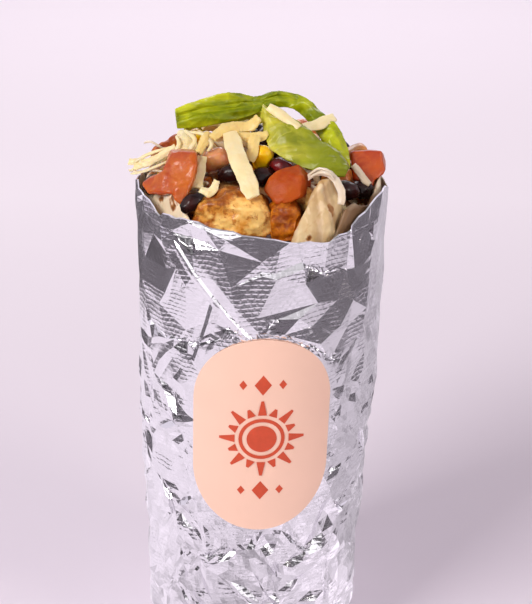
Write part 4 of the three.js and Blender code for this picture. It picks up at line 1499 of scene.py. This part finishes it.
# Where the large piece is moist and pale: a place in mm, and how far that spreads.
CREAMY = (
    ((-1.8, -30.4, 167.3), 4.2),
    ((3, -30, 165.5), 4.6),
    ((-4.5, -30, 164.1), 2.6),
    ((5, -28.4, 169), 2.6),
    ((-7.5, -30.5, 164), 1.8),
    ((-11, -27, 166), 2.2),
)
# Where its top is browned.
CRUSTED = (((-7.5, -26.2, 171), 4.5), ((-1.5, -23, 171.5), 4))


class BURRITO_OT_chicken(bpy.types.Operator):
    """Adds the grilled chicken, with its torn fibres and browned crust"""

    bl_idname = "burrito.chicken"
    bl_label = "Chicken"

    def execute(self, context):
        shade = chosen(context.scene.burrito_filling.chicken_colour)
        for seed, node in enumerate(nodes_of("chicken")):
            meat = refined(node, 0.4 * MM if node == "chicken_main" else 0.34 * MM, 2)
            roughen(meat, 5.5 * MM, 1.5 * MM, seed)
            roughen(meat, 3 * MM, 0.8 * MM, seed + 9, stretch=(1.5, 1, 1))
            roughen(meat, 1.3 * MM, 0.24 * MM, seed + 4)
            if node == "chicken_main":
                self.mark_creamy(meat)
            tint, crust = MEAT_TINTS.get(node, (1, 1, 1)), MEAT_CRUST.get(node, 0)
            finish_piece(meat, meat_material(node, tinted(shade, *tint), crust), "chicken", node)
        return {"FINISHED"}

    def mark_creamy(self, meat):
        """Marks the pale, moist places, from -1 where the crust is to 1 at their middles."""
        marks = meat.data.attributes.new("creamy", "FLOAT", "POINT")
        for vertex, mark in zip(meat.data.vertices, marks.data):
            pale, brown = self.closeness(vertex.co, CREAMY), self.closeness(vertex.co, CRUSTED)
            ragged = pale - 1.2 * max(brown, 0) + 0.6 * noise.noise(vertex.co / (1.5 * MM))
            mark.value = min(max(ragged, -1), 1)

    def closeness(self, point, places):
        """1.3 in the middle of a place, less by 1 for each of its sizes away: the most over the places."""
        return max(1.3 - (point - Vector(place) * MM).length / (size * MM) for place, size in places)


def meat_material(name, shade, crust):
    """Golden meat, creamy where it is moist, and browner where the spice and the pan took it."""
    shader = Shader(name)
    cream = tinted(shade, 1.5, 1.95, 3.9)
    brown = tinted(shade, 0.6, 0.36, 0.14)
    seared_brown = tinted(brown, 0.6, 0.5, 0.3) if name == "chicken_side" else brown
    char = tinted(shade, 0.3, 0.15, 0.06)
    creamy = shader.maths("MULTIPLY", shader.attribute("creamy"), 0.1)
    crustless = shader.maths("MULTIPLY", creamy, 2.2)
    paler = shader.maths("ADD", shader.noise(160, detail=5, roughness=0.65), creamy)
    body = shader.turning(paler, 0.42 + 0.12 * crust, 0.6 + 0.12 * crust, shade, cream)
    patches = shader.noise(150, detail=4, roughness=0.65, vector=shader.mapped(shift=(0.03, 0, 0)))
    darker = shader.maths("SUBTRACT", patches, crustless)
    seared = shader.turning(darker, 0.56 - 0.15 * crust, 0.72 - 0.16 * crust, body, seared_brown, 0.95)
    spiced = shader.turning(shader.noise(420, detail=4, roughness=0.7), 0.56, 0.64, seared, brown, 0.75)
    grain = shader.noise(340, detail=5, roughness=0.7, vector=shader.mapped(shift=(0, 0.04, 0)))
    burnt = shader.maths("SUBTRACT", grain, crustless)
    charred = shader.turning(burnt, 0.62 - 0.12 * crust, 0.76 - 0.1 * crust, spiced, char, 0.75)
    shader.set(Base_Color=charred, Roughness=0.36 + 0.1 * min(crust, 1), Specular_IOR_Level=0.25)
    shader.set(Coat_Weight=0.04 if crust > 0.5 else 0.12, Coat_Roughness=0.12)
    shader.let_in_light(0.15, 1.5, (1.0, 0.6, 0.25))
    fibres = shader.bump(shader.noise(500, detail=4, vector=shader.mapped(scale=(0.35, 1, 1))), 0.2 * MM, 0.7)
    shader.set(Normal=shader.bump(shader.noise(280, detail=5), 0.35 * MM, 0.7, normal=fibres))
    return shader.material


# ---- tomato

TOMATO_TINTS = {
    "tomato_left": (0.78, 0.54, 0.22),
    "tomato_centre": (0.66, 0.36, 0.12),
    "tomato_right": (0.78, 0.38, 0.12),
    "tomato_pale": (1.1, 1.5, 3.2),
    "tomato_corner": (1.1, 1.7, 3.2),
}


class BURRITO_OT_tomato(bpy.types.Operator):
    """Adds the diced tomato, wet and slightly see-through"""

    bl_idname = "burrito.tomato"
    bl_label = "Tomato"

    def execute(self, context):
        shade = chosen(context.scene.burrito_filling.tomato_colour)
        for seed, node in enumerate(nodes_of("tomato")):
            dice = refined(node, 0.36 * MM, 1 if node == "tomato_centre" else 2)
            roughen(dice, 5 * MM, 0.5 * MM, seed + 3)
            roughen(dice, 1.6 * MM, 0.14 * MM, seed + 6)
            tint = TOMATO_TINTS.get(node, (1, 1, 1))
            finish_piece(dice, tomato_material(node, tinted(shade, *tint), seed), "tomato", node)
        return {"FINISHED"}


def tomato_material(name, shade, seed):
    """Flesh with paler and more orange streaks; the centre piece is duller all over."""
    shader = Shader(name)
    orange = tinted(shade, 1.35, 2.2, 1.6)
    flesh = tinted(shade, 1.25, 2.1, 2.8)
    moved = shader.mapped(shift=(0.02 * seed, 0, 0))
    body = shader.turning(shader.noise(100, vector=moved), 0.4, 0.62, shade, orange)
    fibres = shader.noise(230, detail=4, roughness=0.6, distortion=0.8, vector=moved)
    streaked = shader.turning(fibres, 0.47, 0.66, body, flesh, 0.85)
    grain = shader.noise(620, roughness=0.6, vector=moved)
    speckled = shader.turning(grain, 0.62, 0.72, streaked, tinted(flesh, 1.1, 1.4, 1.6), 0.5)
    roughness, gloss, coat = (0.5, 0.15, 0.03) if name == "tomato_centre" else (0.3, 0.3, 0.15)
    shader.set(Base_Color=speckled, Roughness=roughness, Specular_IOR_Level=gloss)
    shader.set(Coat_Weight=coat, Coat_Roughness=0.06)
    shader.let_in_light(0.35, 2.2, (1.0, 0.4, 0.15))
    veined = shader.bump(fibres, 0.4 * MM, 0.7)
    shader.set(Normal=shader.bump(shader.noise(520), 0.22 * MM, 0.7, normal=veined))
    return shader.material


# ---- beans and sweetcorn


class BURRITO_OT_beans(bpy.types.Operator):
    """Adds the beans that lie on top"""

    bl_idname = "burrito.beans"
    bl_label = "Beans"

    def execute(self, context):
        settings = context.scene.burrito_filling
        skin = bean_material("black_bean", chosen(settings.bean_colour))
        maroon = bean_material("kidney_bean", chosen(settings.kidney_colour))
        for seed, node in enumerate([*nodes_of("bean"), "kidney_bean"]):
            bean = refined(node, 0.3 * MM, 6)
            roughen(bean, 2.5 * MM, 0.16 * MM, seed)
            material, slot = (maroon, "kidney_bean") if node == "kidney_bean" else (skin, "bean")
            finish_piece(bean, material, slot, node)
        return {"FINISHED"}


def bean_material(name, shade):
    """A wet skin, warmer in places."""
    shader = Shader(name)
    warm = tinted(shade, 4.5, 1.8, 1.1)
    mottled = shader.turning(shader.noise(220, detail=4), 0.45, 0.75, shade, warm, 0.8)
    shader.set(Base_Color=mottled, Roughness=0.24, Specular_IOR_Level=0.17)
    shader.set(Coat_Weight=0.07, Coat_Roughness=0.05)
    shader.set(Normal=shader.bump(shader.noise(480), 0.1 * MM, 0.5))
    return shader.material


class BURRITO_OT_corn(bpy.types.Operator):
    """Adds the sweetcorn kernels that lie on top"""

    bl_idname = "burrito.corn"
    bl_label = "Sweetcorn"

    def execute(self, context):
        material = corn_material(chosen(context.scene.burrito_filling.corn_colour))
        for seed, node in enumerate(nodes_of("corn")):
            kernel = refined(node, 0.3 * MM, 5)
            roughen(kernel, 3 * MM, 0.25 * MM, seed)
            finish_piece(kernel, material, "corn", node)
        return {"FINISHED"}


def corn_material(shade):
    """A kernel's skin, paler in places."""
    shader = Shader("sweetcorn")
    pale = tinted(shade, 1.05, 1.4, 4)
    body = shader.turning(shader.noise(160, detail=2), 0.45, 0.7, shade, pale, 0.8)
    shader.set(Base_Color=body, Roughness=0.25, Specular_IOR_Level=0.25)
    shader.set(Coat_Weight=0.12, Coat_Roughness=0.06)
    shader.let_in_light(0.35, 2, (1.0, 0.6, 0.08))
    shader.set(Normal=shader.bump(shader.noise(500, detail=2), 0.07 * MM, 0.5))
    return shader.material


# ---- the heap of rice, small beans and shreds

HEAP_RADIUS = 33.5 * MM
HEAP_SKIRT = 150 * MM  # below this the core is hidden in the tortilla
ABOVE_HEAP = RIM_HEIGHT + 40 * MM
GOLDEN_TURN = math.radians(137.508)
# Nothing loose lies nearer the front, where the chicken and the tortilla's corner stand.
FRONT_EDGE = -24 * MM
# What is strewn over the rice. For each: its material and its slot, how many places are tried, a seed, then
# in mm its lift off the core, its length and the room round it, and how much it tilts.
STREWN = {
    "small_beans": ("black_bean", "bean", 90, 5, 2.6, 9, 2.6, 0.5),
    "small_kernels": ("sweetcorn", "corn", 34, 71, 2.4, 7, 2.2, 0.8),
    "chicken_crumbs": ("chicken_side", "chicken", 100, 29, 1.7, 5, 1.4, 0.8),
    "small_tomatoes": ("tomato_back", "tomato", 26, 83, 2.2, 6, 2.2, 0.6),
    "cheese_shreds": ("cheese", "cheese", 46, 97, 3.2, 12, 0.9, 0.3),
    "lettuce_shreds": ("lettuce_back", "lettuce", 26, 61, 3.0, 11, 1.0, 0.4),
}
# Eggs: faces round and along, size in mm, how far the ends bend down, and how square they are.
BALLS = {
    "rice": (7, 6, (8, 2.2, 2.1), 0.25, 0.0),
    "small_beans": (12, 8, (9.2, 6.4, 5.8), 0.06, 0.2),
    "small_kernels": (10, 7, (7.4, 5.6, 4.8), 0.0, 0.6),
    "chicken_crumbs": (8, 6, (6.2, 4, 3.4), 0.0, 0.5),
    "small_tomatoes": (8, 6, (6, 5, 4.6), 0.0, 0.8),
}
# Shreds: length, width, thickness and arch in mm, twist, and faces along.
RIBBONS = {
    "cheese_shreds": (12, 1.9, 1.1, 1.2, 0.8, 5),
    "lettuce_shreds": (11, 3, 0.5, 1.6, 1.9, 6),
}


class Heap:
    """The core's top, and the pieces that lie on it, for finding room for small things."""

    def __init__(self):
        self.core = tree_of("filling")
        others = [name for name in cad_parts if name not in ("filling", "label")]
        self.others = [(tree_of(name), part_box(name)) for name in others]

    def below(self, x, y):
        """The core's point under a place, and the way its surface faces."""
        start = Vector((axis_x(RIM_HEIGHT) + x, y, ABOVE_HEAP))
        point, normal, _, _ = self.core.ray_cast(start, Vector((0, 0, -1)))
        return point, normal

    def free(self, point, margin):
        """Whether no other piece comes within the margin of a point."""
        for tree, box in self.others:
            if any(not low - margin < place < high + margin for place, low, high in zip(point, *box)):
                continue
            near, normal, _, distance = tree.find_nearest(point)
            if near is not None and (distance < margin or (point - near).dot(normal) < 0):
                return False
        return True

    def places(self, count, seed, lift, length, margin, tilt):
        """Evenly spread places that have room, each as a matrix for a model that lies along X."""
        lift, length, margin = (part * MM for part in (lift, length, margin))
        draw = random.Random(seed)
        found = []
        for item in range(count):
            away = math.sqrt((item + 0.5) / count) * HEAP_RADIUS
            turn = item * GOLDEN_TURN + seed
            spin = draw.uniform(0, math.tau)
            nod = draw.gauss(0, tilt)
            roll = draw.gauss(0, tilt)
            size = draw.uniform(0.85, 1.1)
            x, y = away * math.cos(turn), away * math.sin(turn)
            point, normal = self.below(x, y)
            if point is None or y < FRONT_EDGE:
                continue
            middle = point + normal * lift * draw.uniform(0.6, 1.3)
            lying = normal.to_track_quat("Z", "Y") @ Euler((roll, nod, spin), "ZYX").to_quaternion()
            ends = [middle + lying @ Vector((side * length / 2, 0, 0)) for side in (-0.8, 0, 0.8)]
            if all(self.free(end, margin) for end in ends):
                found.append(Matrix.LocRotScale(middle, lying, Vector((size,) * 3)))
        return found


def strewn(model, places, name):
    """Copies of a model at the places, joined to one piece. The model itself is used up."""
    copies = []
    for place in places:
        copy = bpy.data.objects.new(name, model.data.copy())
        bpy.context.scene.collection.objects.link(copy)
        copy.data.transform(place)
        copies.append(copy)
    bpy.data.objects.remove(model)
    return joined(copies, name)


def ball_model(name):
    """An egg that lies along X, bent down at its ends, and squarer where wanted."""
    segments, rings, size, bend, squareness = BALLS[name]
    length, width, height = (part * MM for part in size)
    deselect_all()
    bpy.ops.mesh.primitive_uv_sphere_add(segments=segments, ring_count=rings, radius=0.5)
    model = bpy.context.object
    for vertex in model.data.vertices:
        x, y, z = vertex.co.z, vertex.co.x, vertex.co.y
        most = max(abs(x), abs(y), abs(z)) * 2
        grow = 1 + squareness * (1 / max(most, 0.6) - 1)
        vertex.co = (x * length * grow, y * width * grow, (z * grow - bend * (2 * x) ** 2) * height)
    return model


def ribbon_model(name):
    """A shred that lies along X, arched and twisted."""
    *measures, twist, segments = RIBBONS[name]
    length, width, thickness, arch = (part * MM for part in measures)
    model = sliced_bar(segments)
    for vertex in model.data.vertices:
        x, y, z = vertex.co
        angle = twist * x
        across, up = y * width * (1 - 1.2 * x * x), z * thickness
        vertex.co = (
            x * length,
            across * math.cos(angle) - up * math.sin(angle),
            across * math.sin(angle) + up * math.cos(angle) - arch * (2 * x) ** 2,
        )
    return model


class BURRITO_OT_filling(bpy.types.Operator):
    """Heaps rice, small beans, sweetcorn, tomato and shreds over the core"""

    bl_idname = "burrito.filling"
    bl_label = "Filling"

    def execute(self, context):
        settings = context.scene.burrito_filling
        core = refined("filling", 1.1 * MM, 1)
        roughen(core, 3.4 * MM, 0.8 * MM, 3, above=HEAP_SKIRT)
        roughen(core, 1.5 * MM, 0.35 * MM, 6, above=HEAP_SKIRT)
        finish_piece(core, sauce_material(), "filling", "filling")
        heap = Heap()
        count = settings.rice_count
        places = heap.places(count, 11, 1.1, 8, 1.0, 0.35) + heap.places(count // 3, 47, 3.0, 8, 1.0, 0.5)
        rice = strewn(ball_model("rice"), places, "rice")
        finish_piece(rice, rice_material(chosen(settings.rice_colour)), "filling")
        for name, (material, slot, *room) in STREWN.items():
            model = ribbon_model(name) if name in RIBBONS else ball_model(name)
            if name == "chicken_crumbs":
                roughen(model, 2 * MM, 0.9 * MM, 5)
            finish_piece(strewn(model, heap.places(*room), name), bpy.data.materials[material], slot)
        return {"FINISHED"}


def sauce_material():
    """What shows of the core between the loose things."""
    shader = Shader("sauce")
    patches = shader.noise(240, detail=4, roughness=0.6)
    shades = shader.ramp(patches, (0.35, colour("3a1c10")), (0.5, colour("7a4020")), (0.66, colour("c08a50")))
    shader.set(Base_Color=shades, Roughness=0.3, Coat_Weight=0.3, Coat_Roughness=0.1)
    shader.set(Normal=shader.bump(shader.noise(600), 0.25 * MM, 0.7))
    return shader.material


def rice_material(shade):
    """Cooked rice, tinted by the sauce in places."""
    shader = Shader("rice")
    sauced = shader.turning(shader.noise(130), 0.45, 0.7, shade, tinted(shade, 0.8, 0.5, 0.26), 0.7)
    shader.set(Base_Color=sauced, Roughness=0.32, Coat_Weight=0.2, Coat_Roughness=0.1)
    shader.let_in_light(0.35, 1.5, (1.0, 0.85, 0.6))
    shader.set(Normal=shader.bump(shader.noise(900, detail=2), 0.05 * MM, 0.6))
    return shader.material


OPERATORS = (
    BURRITO_OT_stage,
    BURRITO_OT_foil,
    BURRITO_OT_label,
    BURRITO_OT_tortilla,
    BURRITO_OT_lettuce,
    BURRITO_OT_cheese,
    BURRITO_OT_onion,
    BURRITO_OT_chicken,
    BURRITO_OT_tomato,
    BURRITO_OT_beans,
    BURRITO_OT_corn,
    BURRITO_OT_filling,
)


class BURRITO_PT_panel(bpy.types.Panel):
    """The burrito's pieces and their settings"""

    bl_idname = "BURRITO_PT_panel"
    bl_label = "Burrito"
    bl_space_type = "VIEW_3D"
    bl_region_type = "UI"
    bl_category = "Burrito"

    def draw(self, context):
        for group in SETTING_GROUPS:
            box = self.layout.box()
            for key in SETTING_GROUPS[group].__annotations__:
                box.prop(getattr(context.scene, group), key)
        for operator in OPERATORS:
            self.layout.operator(operator.bl_idname)


def register():
    for cls in (*SETTING_GROUPS.values(), *OPERATORS, BURRITO_PT_panel):
        bpy.utils.register_class(cls)
    for name, group in SETTING_GROUPS.items():
        setattr(bpy.types.Scene, name, bpy.props.PointerProperty(type=group))


def unregister():
    for name in SETTING_GROUPS:
        delattr(bpy.types.Scene, name)
    for cls in reversed((*SETTING_GROUPS.values(), *OPERATORS, BURRITO_PT_panel)):
        bpy.utils.unregister_class(cls)


def main():
    register()
    for operator in OPERATORS:
        getattr(bpy.ops.burrito, operator.bl_idname.split(".")[1])()


if __name__ == "__main__":
    main()
